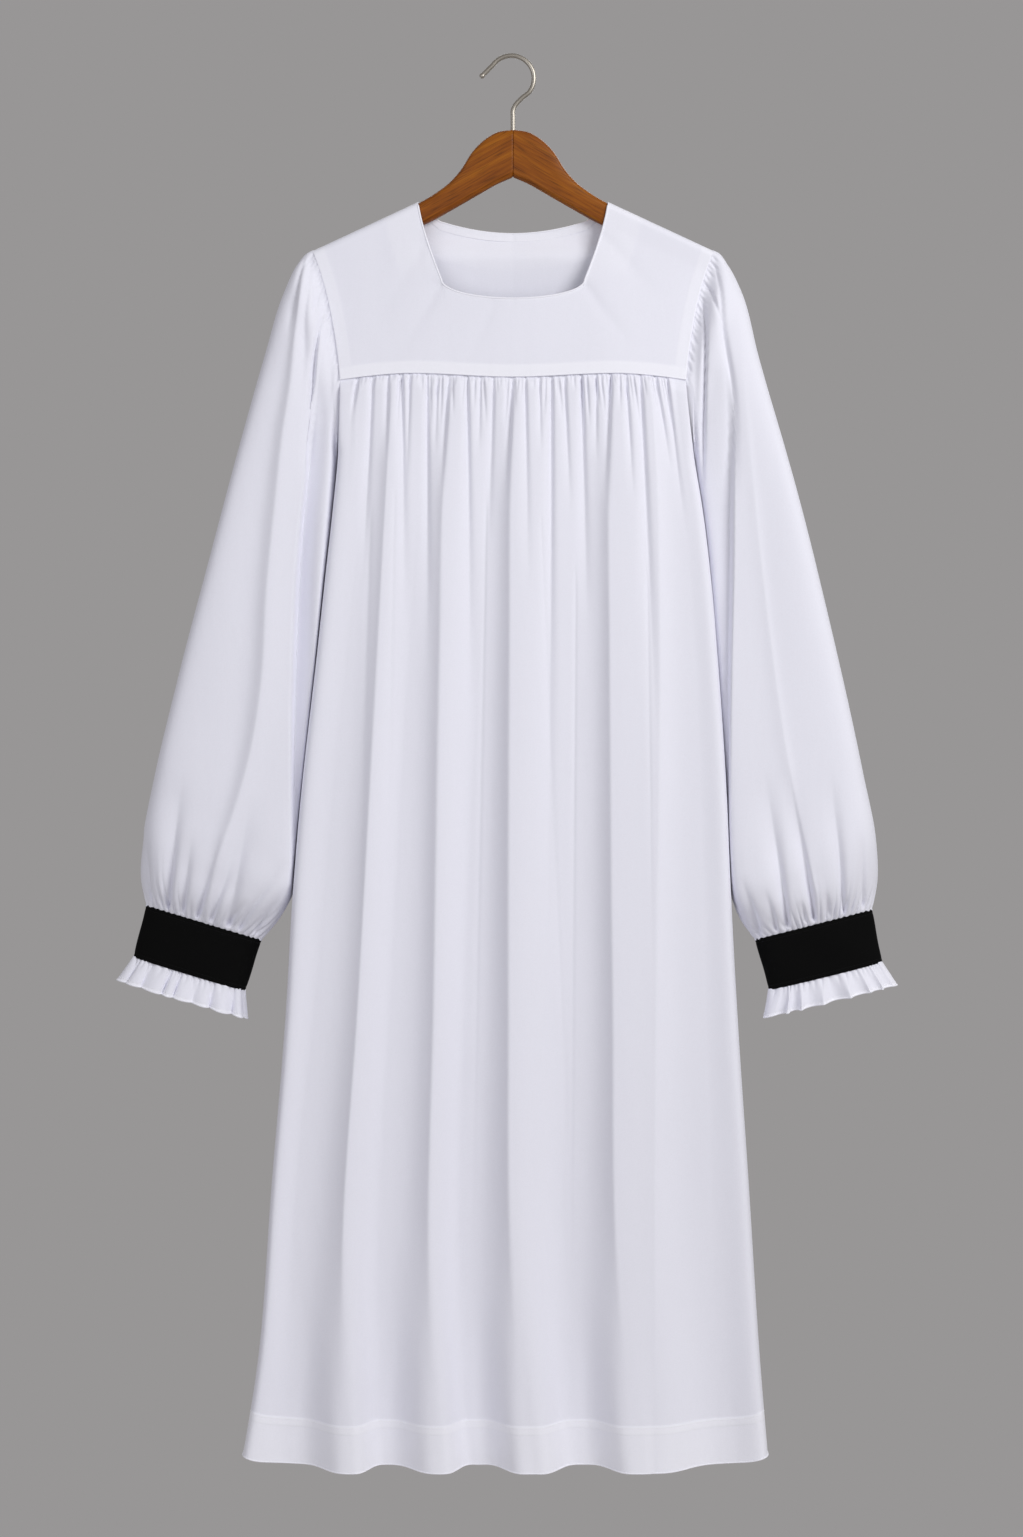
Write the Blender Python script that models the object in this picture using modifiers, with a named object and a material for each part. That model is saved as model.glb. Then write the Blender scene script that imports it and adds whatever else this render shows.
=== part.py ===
"""A white rochet on a wooden hanger: a plain square-necked yoke, a gathered tunic with a deep hem,
and full sleeves gathered into dark wrist bands with frills.

Metres, +Z up. The front faces -Y. The origin is the inside of the hook's crown, where a rail holds it.
"""

import math
from collections import namedtuple

import bmesh
import bpy
import numpy as np

FRONT, BACK = -1, 1
LEFT, RIGHT = -1, 1

# Cloth: walls, the gap between sewn pieces, and the doubled hem
WALL = 0.0012
BAND_WALL = 0.0020
HEM_WALL = 0.0022
HEM_DEPTH = 0.048
HEM_STEP = 0.0012
SEAM_GAP = 0.0003
SEAM_STUB = 0.003
SIDE_SEAM_INSET = 0.0007
YOKE_SEAM_GAP = 0.0007
ARMHOLE_GAP = 0.0011

# Hanger: arms of flat wood, halved at the middle round the hook's stem
HANGER_THICKNESS = 0.014
HANGER_ROUNDING = 0.0066
HANGER_JOINT_GAP = 0.0003
HANGER_TIP_X = 0.205
HANGER_TIP_RADIUS = 0.009
HANGER_CUT_ALLOWANCE = 0.012
JOINT_CUTTER_SIZE = 0.08
JOINT_CUTTER_Z = -0.10
STEM_CUTTER_DEPTH = 0.060

# Hook: a round wire, its stem, the neck that swings aside as x and z, the round part, then the tip
WIRE_DIAMETER = 0.005
WIRE_CLEARANCE = 0.0003
STEM_BOTTOM_Z = -0.101
STEM_TOP_Z = -0.056
HOOK_NECK = ((0.0013, -0.0520), (0.0049, -0.0470), (0.0105, -0.0416))
HOOK_RADIUS = 0.024
HOOK_CENTRE_X = -0.0018
HOOK_ANGLES = range(-36, 145, 12)
HOOK_TIP = ((-0.0256, -0.0117), (-0.0292, -0.0154), (-0.0310, -0.0172), (-0.0325, -0.0187))
HOOK_TIP_SWELL = (1.0, 1.15, 1.15, 0.6)

# The shoulder line of the cloth over the hanger, and the round of the cloth across it
SIDE_NECK_X = 0.1007
SIDE_NECK_Z = -0.1526
SHOULDER_SLOPE = 0.465
SHOULDER_X = 0.2126
LYING_ROUND = HANGER_THICKNESS / 2 + WALL + 0.0007
YOKE_TOP_INSET = 0.00048

# Yoke
NECK_CORNER_X = 0.0755
NECK_CORNER_Z = -0.2370
NECK_SAG = 0.020
NECK_CURVE = 1.35
BACK_NECK_X = 0.078
BACK_NECK_Z = -0.1720
BACK_NECK_SAG = 0.0125
YOKE_SEAM_Z = -0.3370
YOKE_SEAM_WAVE = 0.0040
YOKE_SEAM_END_FALL = 0.0070
YOKE_SEAM_X = 0.1823
YOKE_DEPTH = 0.030
YOKE_DEPTH_FALL = 0.003
HANGER_FACE_DROP = 0.026
FACING_DEPTH = 0.009

# Underarm, where the side seams end
UNDERARM_Z = -0.420
UNDERARM_X = {LEFT: 0.1845, RIGHT: 0.1905}

# Gathers of the tunic into the yoke, and the flat ends beside them
GATHERS = {FRONT: 34, BACK: 24}
FLAT_END = 0.018
FLAT_COLUMNS = {FRONT: 5, BACK: 4}
SIDE_ROUND = 0.055

# Rows of a tunic panel: the gathered ones by how far they hang below the seam, how high their gathers
# stand and how much they follow the seam's wave, then the plain ones by height, then the hem's
GatherRow = namedtuple("GatherRow", "drop height follow")
GATHER_ROWS = (
    GatherRow(0.000, 0.0018, 1.0),
    GatherRow(0.007, 0.0028, 0.9),
    GatherRow(0.022, 0.0024, 0.8),
    GatherRow(0.050, 0.0012, 0.7),
    GatherRow(0.092, 0.0000, 0.6),
)
PLAIN_ROWS = {FRONT: (-0.520, -0.660, -0.840, -1.040, -1.250), BACK: (-0.520, -0.660, -0.840, -1.250)}
HEM_Z = -1.485
HEM_ROWS = (HEM_Z + HEM_DEPTH + HEM_STEP, HEM_Z + HEM_DEPTH, HEM_Z)
HEM_SIDE_RISE = 0.013
HEM_RISE_POWER = 10

# Sleeves: the gathers of the head at the armhole and a little past it, those at the wrist band, and
# how much of the armhole's bow the first levels keep, measured from a plain oval
SLEEVE_COLUMNS = 56
HEAD_GATHER_SHARE = 0.30
HEAD_SEAM_GATHER = 0.0012
HEAD_STUB_GATHER = 0.0020
WRIST_STUB_GATHER = 0.0022
WRIST_SEAM_GATHER = 0.0016
ARMHOLE_BOW_KEPT = (0.7, 0.45, 0.15)
ARMHOLE_OVAL_DEPTH = 0.028
ARMHOLE_OVAL_SQUARENESS = 2.2

# Wrist bands, and frills by distance from the band, half depth and height of the pleats
BAND_COLUMNS = 40
BAND_DEPTH = 0.017
BAND_SQUARENESS = 2.3
FRILL_PLEATS = 18
FrillLevel = namedtuple("FrillLevel", "distance depth pleat")
FRILL_LEVELS = (
    FrillLevel(SEAM_GAP, BAND_DEPTH - 0.0005, 0.0012),
    FrillLevel(SEAM_STUB, BAND_DEPTH, 0.0018),
    FrillLevel(0.013, BAND_DEPTH + 0.002, 0.0030),
)
FRILL_EDGE_DEPTH = BAND_DEPTH + 0.004
FRILL_EDGE_PLEAT = 0.0042

HangerSection = namedtuple("HangerSection", "x top underside")
HANGER_SECTIONS = (
    HangerSection(0.0000, -0.0760, -0.1265),
    HangerSection(0.0180, -0.0793, -0.1345),
    HangerSection(0.0320, -0.0881, -0.1425),
    HangerSection(0.0444, -0.1013, -0.1497),
    HangerSection(0.0545, -0.1175, -0.1555),
    HangerSection(0.0668, -0.1316, -0.1625),
    HangerSection(0.0809, -0.1425, -0.1705),
    HangerSection(0.1007, -0.1543, -0.1800),
)

# The armhole seam from the shoulder to the end of the yoke
ArmholePoint = namedtuple("ArmholePoint", "z x")
ARMHOLE = (
    ArmholePoint(-0.2046, 0.2126),
    ArmholePoint(-0.2300, 0.2035),
    ArmholePoint(-0.2540, 0.1968),
    ArmholePoint(-0.2870, 0.1899),
    ArmholePoint(-0.3180, 0.1850),
    ArmholePoint(-0.3440, 0.1823),
)

# The tunic from its yoke seam to the hem: its two side seams, how far each panel stands from the
# side seams, and half the height of its long folds
TunicLevel = namedtuple("TunicLevel", "z left right depth fold")
TUNIC_LEVELS = (
    TunicLevel(-0.340, -0.1823, 0.1823, 0.030, 0.0000),
    TunicLevel(-0.380, -0.1828, 0.1860, 0.033, 0.0015),
    TunicLevel(-0.420, -0.1845, 0.1905, 0.036, 0.0032),
    TunicLevel(-0.483, -0.1905, 0.2005, 0.039, 0.0050),
    TunicLevel(-0.560, -0.1990, 0.2095, 0.042, 0.0068),
    TunicLevel(-0.640, -0.2075, 0.2160, 0.044, 0.0085),
    TunicLevel(-0.780, -0.2232, 0.2252, 0.047, 0.0110),
    TunicLevel(-0.900, -0.2330, 0.2302, 0.049, 0.0130),
    TunicLevel(-1.000, -0.2385, 0.2355, 0.051, 0.0145),
    TunicLevel(-1.190, -0.2540, 0.2480, 0.053, 0.0170),
    TunicLevel(-1.380, -0.2690, 0.2602, 0.054, 0.0190),
    TunicLevel(-1.485, -0.2860, 0.2690, 0.054, 0.0200),
)

# Long folds: where the flank of each lies across the panel at six heights, which way it faces
# and how strong it is against the level's fold
FOLD_HEIGHTS = (-0.340, -0.447, -0.627, -0.998, -1.271, -1.485)
FOLD_HALF_WIDTHS = (0.008, 0.010, 0.014, 0.020, 0.024, 0.027)
LongFold = namedtuple("LongFold", "seam chest waist hip knee hem side strength")
LONG_FOLDS = {
    FRONT: (
        LongFold(-0.129, -0.136, -0.147, -0.169, -0.186, -0.177, LEFT, 0.9),
        LongFold(-0.065, -0.076, -0.082, -0.090, -0.096, -0.084, LEFT, 0.9),
        LongFold(0.000, -0.006, -0.009, -0.012, -0.010, 0.012, LEFT, 1.1),
        LongFold(0.103, 0.097, 0.096, 0.097, 0.100, 0.123, LEFT, 1.0),
        LongFold(0.152, 0.164, 0.162, 0.164, 0.164, 0.164, RIGHT, 0.7),
    ),
    BACK: (
        LongFold(-0.132, -0.140, -0.150, -0.172, -0.186, -0.198, LEFT, 0.8),
        LongFold(-0.052, -0.058, -0.068, -0.078, -0.086, -0.094, LEFT, 0.9),
        LongFold(0.026, 0.022, 0.020, 0.018, 0.020, 0.014, LEFT, 0.8),
        LongFold(0.098, 0.104, 0.108, 0.112, 0.116, 0.118, LEFT, 0.9),
        LongFold(0.146, 0.158, 0.160, 0.170, 0.176, 0.180, RIGHT, 0.7),
    ),
}

# A sleeve from armhole to wrist: the outer edge and the inner edge in the front view, half its depth,
# how square its section is, and how high its gathers stand
SleeveLevel = namedtuple("SleeveLevel", "outer_x outer_z inner_x inner_z depth squareness gather")
SLEEVE_LEVELS = {
    LEFT: (
        SleeveLevel(0.2272, -0.2180, 0.1862, -0.4330, 0.029, 2.3, 0.0028),
        SleeveLevel(0.2420, -0.2480, 0.1880, -0.4560, 0.031, 2.4, 0.0026),
        SleeveLevel(0.2620, -0.3150, 0.1945, -0.5050, 0.034, 2.6, 0.0012),
        SleeveLevel(0.2900, -0.4150, 0.2040, -0.5860, 0.037, 2.8, 0.0000),
        SleeveLevel(0.3230, -0.5420, 0.2165, -0.6980, 0.040, 2.8, 0.0000),
        SleeveLevel(0.3540, -0.6600, 0.2274, -0.8000, 0.042, 2.7, 0.0000),
        SleeveLevel(0.3780, -0.7600, 0.2322, -0.8600, 0.044, 2.6, 0.0020),
        SleeveLevel(0.3915, -0.8300, 0.2378, -0.8940, 0.043, 2.5, 0.0032),
        SleeveLevel(0.3940, -0.8700, 0.2505, -0.9160, 0.034, 2.4, 0.0034),
    ),
    RIGHT: (
        SleeveLevel(0.2270, -0.2200, 0.1925, -0.4330, 0.029, 2.3, 0.0028),
        SleeveLevel(0.2420, -0.2500, 0.1970, -0.4560, 0.031, 2.4, 0.0026),
        SleeveLevel(0.2590, -0.3150, 0.2050, -0.5050, 0.034, 2.6, 0.0012),
        SleeveLevel(0.2870, -0.4150, 0.2135, -0.5860, 0.037, 2.8, 0.0000),
        SleeveLevel(0.3200, -0.5420, 0.2215, -0.6980, 0.040, 2.8, 0.0000),
        SleeveLevel(0.3480, -0.6600, 0.2282, -0.8000, 0.042, 2.7, 0.0000),
        SleeveLevel(0.3695, -0.7600, 0.2312, -0.8600, 0.044, 2.6, 0.0020),
        SleeveLevel(0.3840, -0.8300, 0.2345, -0.8960, 0.043, 2.5, 0.0032),
        SleeveLevel(0.3860, -0.8700, 0.2435, -0.9170, 0.034, 2.4, 0.0034),
    ),
}

# Wrist bands and frills: the outer and inner corners in the front view
WristEdge = namedtuple("WristEdge", "outer_x outer_z inner_x inner_z")
BAND_TOP = {
    LEFT: WristEdge(0.3887, -0.8970, 0.2660, -0.9340),
    RIGHT: WristEdge(0.3804, -0.9015, 0.2562, -0.9335),
}
BAND_BOTTOM = {
    LEFT: WristEdge(0.4021, -0.9527, 0.2839, -0.9885),
    RIGHT: WristEdge(0.3916, -0.9580, 0.2711, -0.9877),
}
FRILL_BOTTOM = {
    LEFT: WristEdge(0.4158, -0.9770, 0.2849, -1.0160),
    RIGHT: WristEdge(0.4045, -0.9820, 0.2666, -1.0160),
}


def column(rows, name):
    """One named column of a table, as an array."""
    return np.array([getattr(row, name) for row in rows], dtype=float)


def smooth_line(at, places, values):
    """A smooth line through the values at the places, which rise or fall in order."""
    places = np.asarray(places, float)
    values = np.asarray(values, float)
    at = np.asarray(at, float)
    if places[0] > places[-1]:
        places, values, at = -places, values, -at
    slopes = np.gradient(values, places)
    at = np.clip(at, places[0], places[-1])
    left = np.clip(np.searchsorted(places, at, side="right") - 1, 0, len(places) - 2)
    span = places[left + 1] - places[left]
    t = (at - places[left]) / span
    return (
        values[left] * (1 + 2 * t) * (1 - t) ** 2
        + values[left + 1] * t**2 * (3 - 2 * t)
        + slopes[left] * span * t * (1 - t) ** 2
        - slopes[left + 1] * span * t**2 * (1 - t)
    )


def quarter_round(t):
    """Rises from 0 to 1 as a quarter of a circle does, and stays at 1."""
    return np.sqrt(1 - (1 - np.clip(t, 0, 1)) ** 2)


def shoulder_z(x):
    """Height of the shoulder line, carried on to the middle."""
    return SIDE_NECK_Z - (np.abs(x) - SIDE_NECK_X) * SHOULDER_SLOPE


def yoke_seam_z(x):
    """Height of the seam under the yoke, which rises beside the middle and falls at its ends."""
    share = np.abs(x) / YOKE_SEAM_X
    wave = YOKE_SEAM_WAVE * np.cos(np.pi * np.clip(share / 0.6, 0, 1)) / 2 + YOKE_SEAM_WAVE / 2
    return YOKE_SEAM_Z - wave - YOKE_SEAM_END_FALL * np.clip((share - 0.6) / 0.4, 0, 1) ** 1.6


def yoke_depth(x, z):
    """How far the yoke stands from the middle plane: round over the hanger, then hanging forward."""
    drop = np.maximum(shoulder_z(x) - z, 0)
    lying = YOKE_TOP_INSET + (LYING_ROUND - YOKE_TOP_INSET) * quarter_round(drop / LYING_ROUND)
    seam_drop = shoulder_z(x) - yoke_seam_z(x)
    hang = np.clip((drop - HANGER_FACE_DROP) / (seam_drop - HANGER_FACE_DROP), 0, 1) ** 1.3
    at_seam = YOKE_DEPTH - YOKE_DEPTH_FALL * (x / YOKE_SEAM_X) ** 2
    return lying + (at_seam - LYING_ROUND) * hang


def armhole_x(z, side):
    """Distance of the armhole seam from the middle."""
    upper = smooth_line(z, column(ARMHOLE, "z"), column(ARMHOLE, "x"))
    end = ARMHOLE[-1]
    share = np.clip((end.z - z) / (end.z - UNDERARM_Z), 0, 1)
    return upper + (UNDERARM_X[side] - end.x) * share**1.3


def armhole_depth(z, side):
    """Half the depth of the armhole, which closes at the underarm."""
    x = armhole_x(np.maximum(z, ARMHOLE[-1].z), side)
    upper = yoke_depth(x, np.maximum(z, ARMHOLE[-1].z))
    closing = np.clip((ARMHOLE[-1].z - z) / (ARMHOLE[-1].z - UNDERARM_Z), 0, 1)
    return SIDE_SEAM_INSET + (upper - SIDE_SEAM_INSET) * np.sqrt(np.maximum(1 - closing**2, 0))


def tunic_edges(z):
    """The two side edges of a tunic panel at a height: its armholes, then its side seams."""
    left = smooth_line(z, column(TUNIC_LEVELS, "z"), column(TUNIC_LEVELS, "left"))
    right = smooth_line(z, column(TUNIC_LEVELS, "z"), column(TUNIC_LEVELS, "right"))
    above = z > UNDERARM_Z
    left = np.where(above, -armhole_x(z, LEFT), left)
    right = np.where(above, armhole_x(z, RIGHT), right)
    return left, right


def fold_wave(x, z, left, right, face):
    """The long folds at one height: 1 on a crest, -1 in a trough, eased between them."""
    folds = LONG_FOLDS[face]
    half = float(smooth_line(z, FOLD_HEIGHTS, FOLD_HALF_WIDTHS))
    places, heights = [left], [0.0]
    for fold in folds:
        flank = float(smooth_line(z, FOLD_HEIGHTS, fold[:6]))
        places += [flank - half, flank + half]
        heights += [fold.side * fold.strength, -fold.side * fold.strength]
    places = np.maximum.accumulate(np.array(places + [right]) + 1e-6 * np.arange(len(places) + 1))
    heights = np.array(heights + [0.0])
    spot = np.clip(np.searchsorted(places, x, side="right") - 1, 0, len(places) - 2)
    t = np.clip((x - places[spot]) / (places[spot + 1] - places[spot]), 0, 1)
    ease = (1 - np.cos(np.pi * t)) / 2
    return heights[spot] + (heights[spot + 1] - heights[spot]) * ease


def tunic_shares(face):
    """Where the columns of a tunic panel lie across it: close at the flat ends, two for each gather."""
    flat = np.linspace(0, FLAT_END, FLAT_COLUMNS[face] + 1)
    width = 2 * YOKE_SEAM_X
    gathered = np.linspace(FLAT_END, width - FLAT_END, 2 * GATHERS[face] + 1)
    return np.concatenate([flat[:-1], gathered, width - flat[-2::-1]]) / width


def gather_turns(count, flat):
    """1 and -1 by turns along the gathers, and 0 over the flat ends."""
    turns = np.where(np.arange(count) % 2 == flat % 2, -1.0, 1.0)
    turns[: flat + 1] = 0
    turns[-flat - 1 :] = 0
    return turns


def tunic_net(face):
    """The outer points of the front or back panel, from its yoke seam to its hem."""
    shares = tunic_shares(face)
    turns = gather_turns(len(shares), FLAT_COLUMNS[face])
    hem_rise = HEM_SIDE_RISE * np.abs(2 * shares - 1) ** HEM_RISE_POWER
    middles = [YOKE_SEAM_Z - YOKE_SEAM_GAP - row.drop for row in GATHER_ROWS]
    middles += PLAIN_ROWS[face] + HEM_ROWS
    rows = []
    for index, middle in enumerate(middles):
        z = np.full(len(shares), middle)
        gather = 0.0
        if index < len(GATHER_ROWS):
            left, right = tunic_edges(z)
            seam = yoke_seam_z(left + (right - left) * shares)
            z = z + (seam - YOKE_SEAM_Z) * GATHER_ROWS[index].follow
            gather = GATHER_ROWS[index].height
        if middle in HEM_ROWS:
            z = z + hem_rise
        left, right = tunic_edges(z)
        x = left + (right - left) * shares
        round_side = quarter_round(np.minimum(x - left, right - x) / SIDE_ROUND)
        if index == 0:
            out = yoke_depth(x, yoke_seam_z(x))
        else:
            edge = np.where(z > UNDERARM_Z, armhole_depth(z, LEFT), SIDE_SEAM_INSET)
            depth = smooth_line(z, column(TUNIC_LEVELS, "z"), column(TUNIC_LEVELS, "depth"))
            out = edge + (depth - edge) * round_side
        fold = float(smooth_line(middle, column(TUNIC_LEVELS, "z"), column(TUNIC_LEVELS, "fold")))
        wave = fold_wave(x, middle, float(left.mean()), float(right.mean()), face)
        out = out + fold * wave * round_side + gather * turns
        rows.append(np.stack([x, face * out, z], axis=1))
    return np.array(rows)


def neck_edge(face):
    """The top edge of a yoke from shoulder to shoulder, as x and z: shoulder, neck side, neck, and back."""
    shoulder = np.linspace(SHOULDER_X, SIDE_NECK_X, 6)
    half = [(-x, shoulder_z(x)) for x in shoulder]
    if face == FRONT:
        fall = SIDE_NECK_Z - NECK_CORNER_Z
        inward = SIDE_NECK_X - NECK_CORNER_X
        for share in (0.03, 0.10, 0.24, 0.45, 0.72, 1.0):
            half.append((-SIDE_NECK_X + inward * share**NECK_CURVE, SIDE_NECK_Z - fall * share))
        for angle in np.radians((18, 40, 65, 90)):
            x = -NECK_CORNER_X * math.cos(angle)
            half.append((x, NECK_CORNER_Z - NECK_SAG * math.sin(angle)))
    else:
        fall = SIDE_NECK_Z - BACK_NECK_Z
        inward = SIDE_NECK_X - BACK_NECK_X
        for share in (0.05, 0.15, 0.45, 1.0):
            half.append((-SIDE_NECK_X + inward * share, SIDE_NECK_Z - fall * share))
        for share in (0.8, 0.55, 0.28, 0.0):
            half.append((-BACK_NECK_X * share, BACK_NECK_Z - BACK_NECK_SAG * (1 - share**2)))
    half = np.array(half)
    mirrored = half[-2::-1] * (-1, 1)
    return np.concatenate([half, mirrored])


def yoke_net(face):
    """The outer points of the front or back yoke, from its top edge to the seam under it."""
    top = neck_edge(face)
    drops = LYING_ROUND * (1 - np.cos(np.radians([0, 30, 60, 90])))
    below = (0.10, 0.26, 0.46, 0.72, 1.0)
    seam_x = top[:, 0] * YOKE_SEAM_X / SHOULDER_X
    seam_z = yoke_seam_z(seam_x)
    net = np.zeros((len(drops) + len(below), len(top), 3))
    for row in range(len(net)):
        if row < len(drops):
            z = top[:, 1] - drops[row]
        else:
            z = top[:, 1] - drops[-1] + (seam_z - top[:, 1] + drops[-1]) * below[row - len(drops)]
        down = (top[:, 1] - z) / (top[:, 1] - seam_z)
        x = top[:, 0] + (seam_x - top[:, 0]) * down
        straight = SHOULDER_X + (YOKE_SEAM_X - SHOULDER_X) * down
        bow = armhole_x(z, LEFT) - straight
        x = x + np.sign(x) * bow * np.clip(np.abs(x) / straight, 0, 1) ** 6
        net[row] = np.stack([x, face * yoke_depth(x, z), z], axis=1)
    return net


def facing_net():
    """The outer points of the band inside the back neck: the yoke's own points, moved in."""
    top = neck_edge(BACK)
    inside = np.abs(top[:, 0]) < BACK_NECK_X + 0.001
    top = top[inside]
    rows = []
    for drop in (0.0006, FACING_DEPTH / 2, FACING_DEPTH):
        z = top[:, 1] - drop
        y = yoke_depth(top[:, 0], z) - WALL - SEAM_GAP
        rows.append(np.stack([top[:, 0], y, z], axis=1))
    return np.array(rows)


def evenly(ring, columns):
    """The ring's points moved so that they lie evenly along it. The first stays."""
    closed = np.concatenate([ring, ring[:1]])
    steps = np.linalg.norm(np.diff(closed, axis=0), axis=1)
    along = np.concatenate([[0], np.cumsum(steps)])
    want = np.linspace(0, along[-1], columns + 1)[:-1]
    return np.stack([np.interp(want, along, closed[:, axis]) for axis in range(3)], axis=1)


def oval(edge, depth, squareness, side, count=360):
    """A ring round a sleeve: from its outer edge over the front to its inner edge and back behind."""
    angle = np.linspace(0, 2 * np.pi, count, endpoint=False)
    across = np.sign(np.cos(angle)) * np.abs(np.cos(angle)) ** (2 / squareness)
    forward = np.sign(np.sin(angle)) * np.abs(np.sin(angle)) ** (2 / squareness)
    x = (edge.outer_x + edge.inner_x) / 2 + (edge.outer_x - edge.inner_x) / 2 * across
    z = (edge.outer_z + edge.inner_z) / 2 + (edge.outer_z - edge.inner_z) / 2 * across
    return np.stack([side * x, -depth * forward, z], axis=1)


def armhole_ring(side, count=360):
    """The armhole seam all round, from the shoulder over the front to the underarm and back behind."""
    angle = np.linspace(0, 2 * np.pi, count, endpoint=False)
    top, bottom = ARMHOLE[0].z, UNDERARM_Z
    z = (top + bottom) / 2 + (top - bottom) / 2 * np.cos(angle)
    x = side * (armhole_x(z, side) + ARMHOLE_GAP)
    y = -np.sign(np.sin(angle)) * armhole_depth(z, side)
    return np.stack([x, y, z], axis=1)


def crimped(ring, heights, along_tube):
    """The ring with its points moved out and in by turns, square to the ring and to the tube."""
    before = np.roll(ring, 1, axis=0)
    after = np.roll(ring, -1, axis=0)
    along = after - before
    along /= np.linalg.norm(along, axis=1, keepdims=True)
    middle = ring.mean(axis=0)
    out = ring - middle
    tube = np.array(along_tube, float) / np.linalg.norm(along_tube)
    out -= (out @ tube)[:, None] * tube
    out -= (out * along).sum(axis=1, keepdims=True) * along
    out /= np.linalg.norm(out, axis=1, keepdims=True)
    turns = np.where(np.arange(len(ring)) % 2 == 0, 1.0, -1.0)
    return ring + out * (heights * turns)[:, None]


def ring_axis(ring):
    """The direction of the tube where it passes through a ring, square to the ring's width and depth."""
    width = ring[0] - ring[len(ring) // 2]
    return np.array([-width[2], 0, width[0]])


def moved_along(edge, towards, distance):
    """A wrist edge moved towards the next one by a distance."""
    here = np.array(edge)
    there = np.array(towards)
    length = (np.hypot(*(there - here)[:2]) + np.hypot(*(there - here)[2:])) / 2
    return WristEdge(*(here + (there - here) * distance / length))


def head_weights():
    """1 over the gathered head of a sleeve, 0 under the arm."""
    share = np.arange(SLEEVE_COLUMNS) / SLEEVE_COLUMNS
    from_top = np.minimum(share, 1 - share)
    return np.clip((HEAD_GATHER_SHARE + 0.04 - from_top) / 0.04, 0, 1)


def wrist_weights(beside_tunic):
    """The gathers above a wrist band, which lie flat where the sleeve hangs beside the tunic."""
    share = np.arange(SLEEVE_COLUMNS) / SLEEVE_COLUMNS
    from_inner = np.abs(share - 0.5)
    flattened = np.clip((from_inner - 0.04) / 0.06, 0.1, 1)
    return flattened if beside_tunic else np.ones(SLEEVE_COLUMNS)


def sleeve_net(side):
    """The outer points of a sleeve: rings from the armhole to the wrist band."""
    head = head_weights()
    armhole = armhole_ring(side)
    outward = np.array([side, 0, -SHOULDER_SLOPE])
    rings = [
        crimped(evenly(armhole, SLEEVE_COLUMNS), HEAD_SEAM_GATHER * head, outward),
        crimped(evenly(armhole + outward * SEAM_STUB, SLEEVE_COLUMNS), HEAD_STUB_GATHER * head, outward),
    ]
    levels = SLEEVE_LEVELS[side]
    armhole_ends = WristEdge(ARMHOLE[0].x, ARMHOLE[0].z, UNDERARM_X[side], UNDERARM_Z)
    plain = oval(armhole_ends, ARMHOLE_OVAL_DEPTH, ARMHOLE_OVAL_SQUARENESS, side)
    bow = armhole[:, 0] - plain[:, 0]
    for index, level in enumerate(levels):
        edge = WristEdge(level.outer_x, level.outer_z, level.inner_x, level.inner_z)
        ring = oval(edge, level.depth, level.squareness, side)
        if index < len(ARMHOLE_BOW_KEPT):
            ring[:, 0] += bow * ARMHOLE_BOW_KEPT[index]
        weights = head if index < len(levels) // 2 else wrist_weights(index < len(levels) - 1)
        down = ring_axis(ring)
        rings.append(crimped(evenly(ring, SLEEVE_COLUMNS), level.gather * weights, down))
    for distance, gather in ((-SEAM_STUB, WRIST_STUB_GATHER), (-SEAM_GAP, WRIST_SEAM_GATHER)):
        edge = moved_along(BAND_TOP[side], BAND_BOTTOM[side], distance)
        ring = oval(edge, BAND_DEPTH, BAND_SQUARENESS, side)
        crimp = np.full(SLEEVE_COLUMNS, gather)
        rings.append(crimped(evenly(ring, SLEEVE_COLUMNS), crimp, ring_axis(ring)))
    return np.array(rings)


def band_net(side):
    """The outer points of a wrist band: an oval tube."""
    rings = []
    for edge in (BAND_TOP[side], BAND_BOTTOM[side]):
        rings.append(evenly(oval(edge, BAND_DEPTH, BAND_SQUARENESS, side), BAND_COLUMNS))
    return np.array(rings)


def frill_net(side):
    """The outer points of a frill: close pleats at the band that open towards the free edge."""
    columns = 2 * FRILL_PLEATS
    levels = []
    for level in FRILL_LEVELS:
        edge = moved_along(BAND_BOTTOM[side], FRILL_BOTTOM[side], level.distance)
        levels.append((edge, level.depth, level.pleat))
    levels.append((FRILL_BOTTOM[side], FRILL_EDGE_DEPTH, FRILL_EDGE_PLEAT))
    rings = []
    for edge, depth, pleat in levels:
        ring = evenly(oval(edge, depth, BAND_SQUARENESS, side), columns)
        rings.append(crimped(ring, np.full(columns, pleat), ring_axis(ring)))
    return np.array(rings)


def material(name, colour, roughness, metallic=0.0):
    """A plain material of one colour."""
    made = bpy.data.materials.new(name)
    made.use_nodes = True
    shader = made.node_tree.nodes["Principled BSDF"]
    shader.inputs["Base Color"].default_value = (*colour, 1)
    shader.inputs["Roughness"].default_value = roughness
    shader.inputs["Metallic"].default_value = metallic
    made.diffuse_color = (*colour, 1)
    return made


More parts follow.
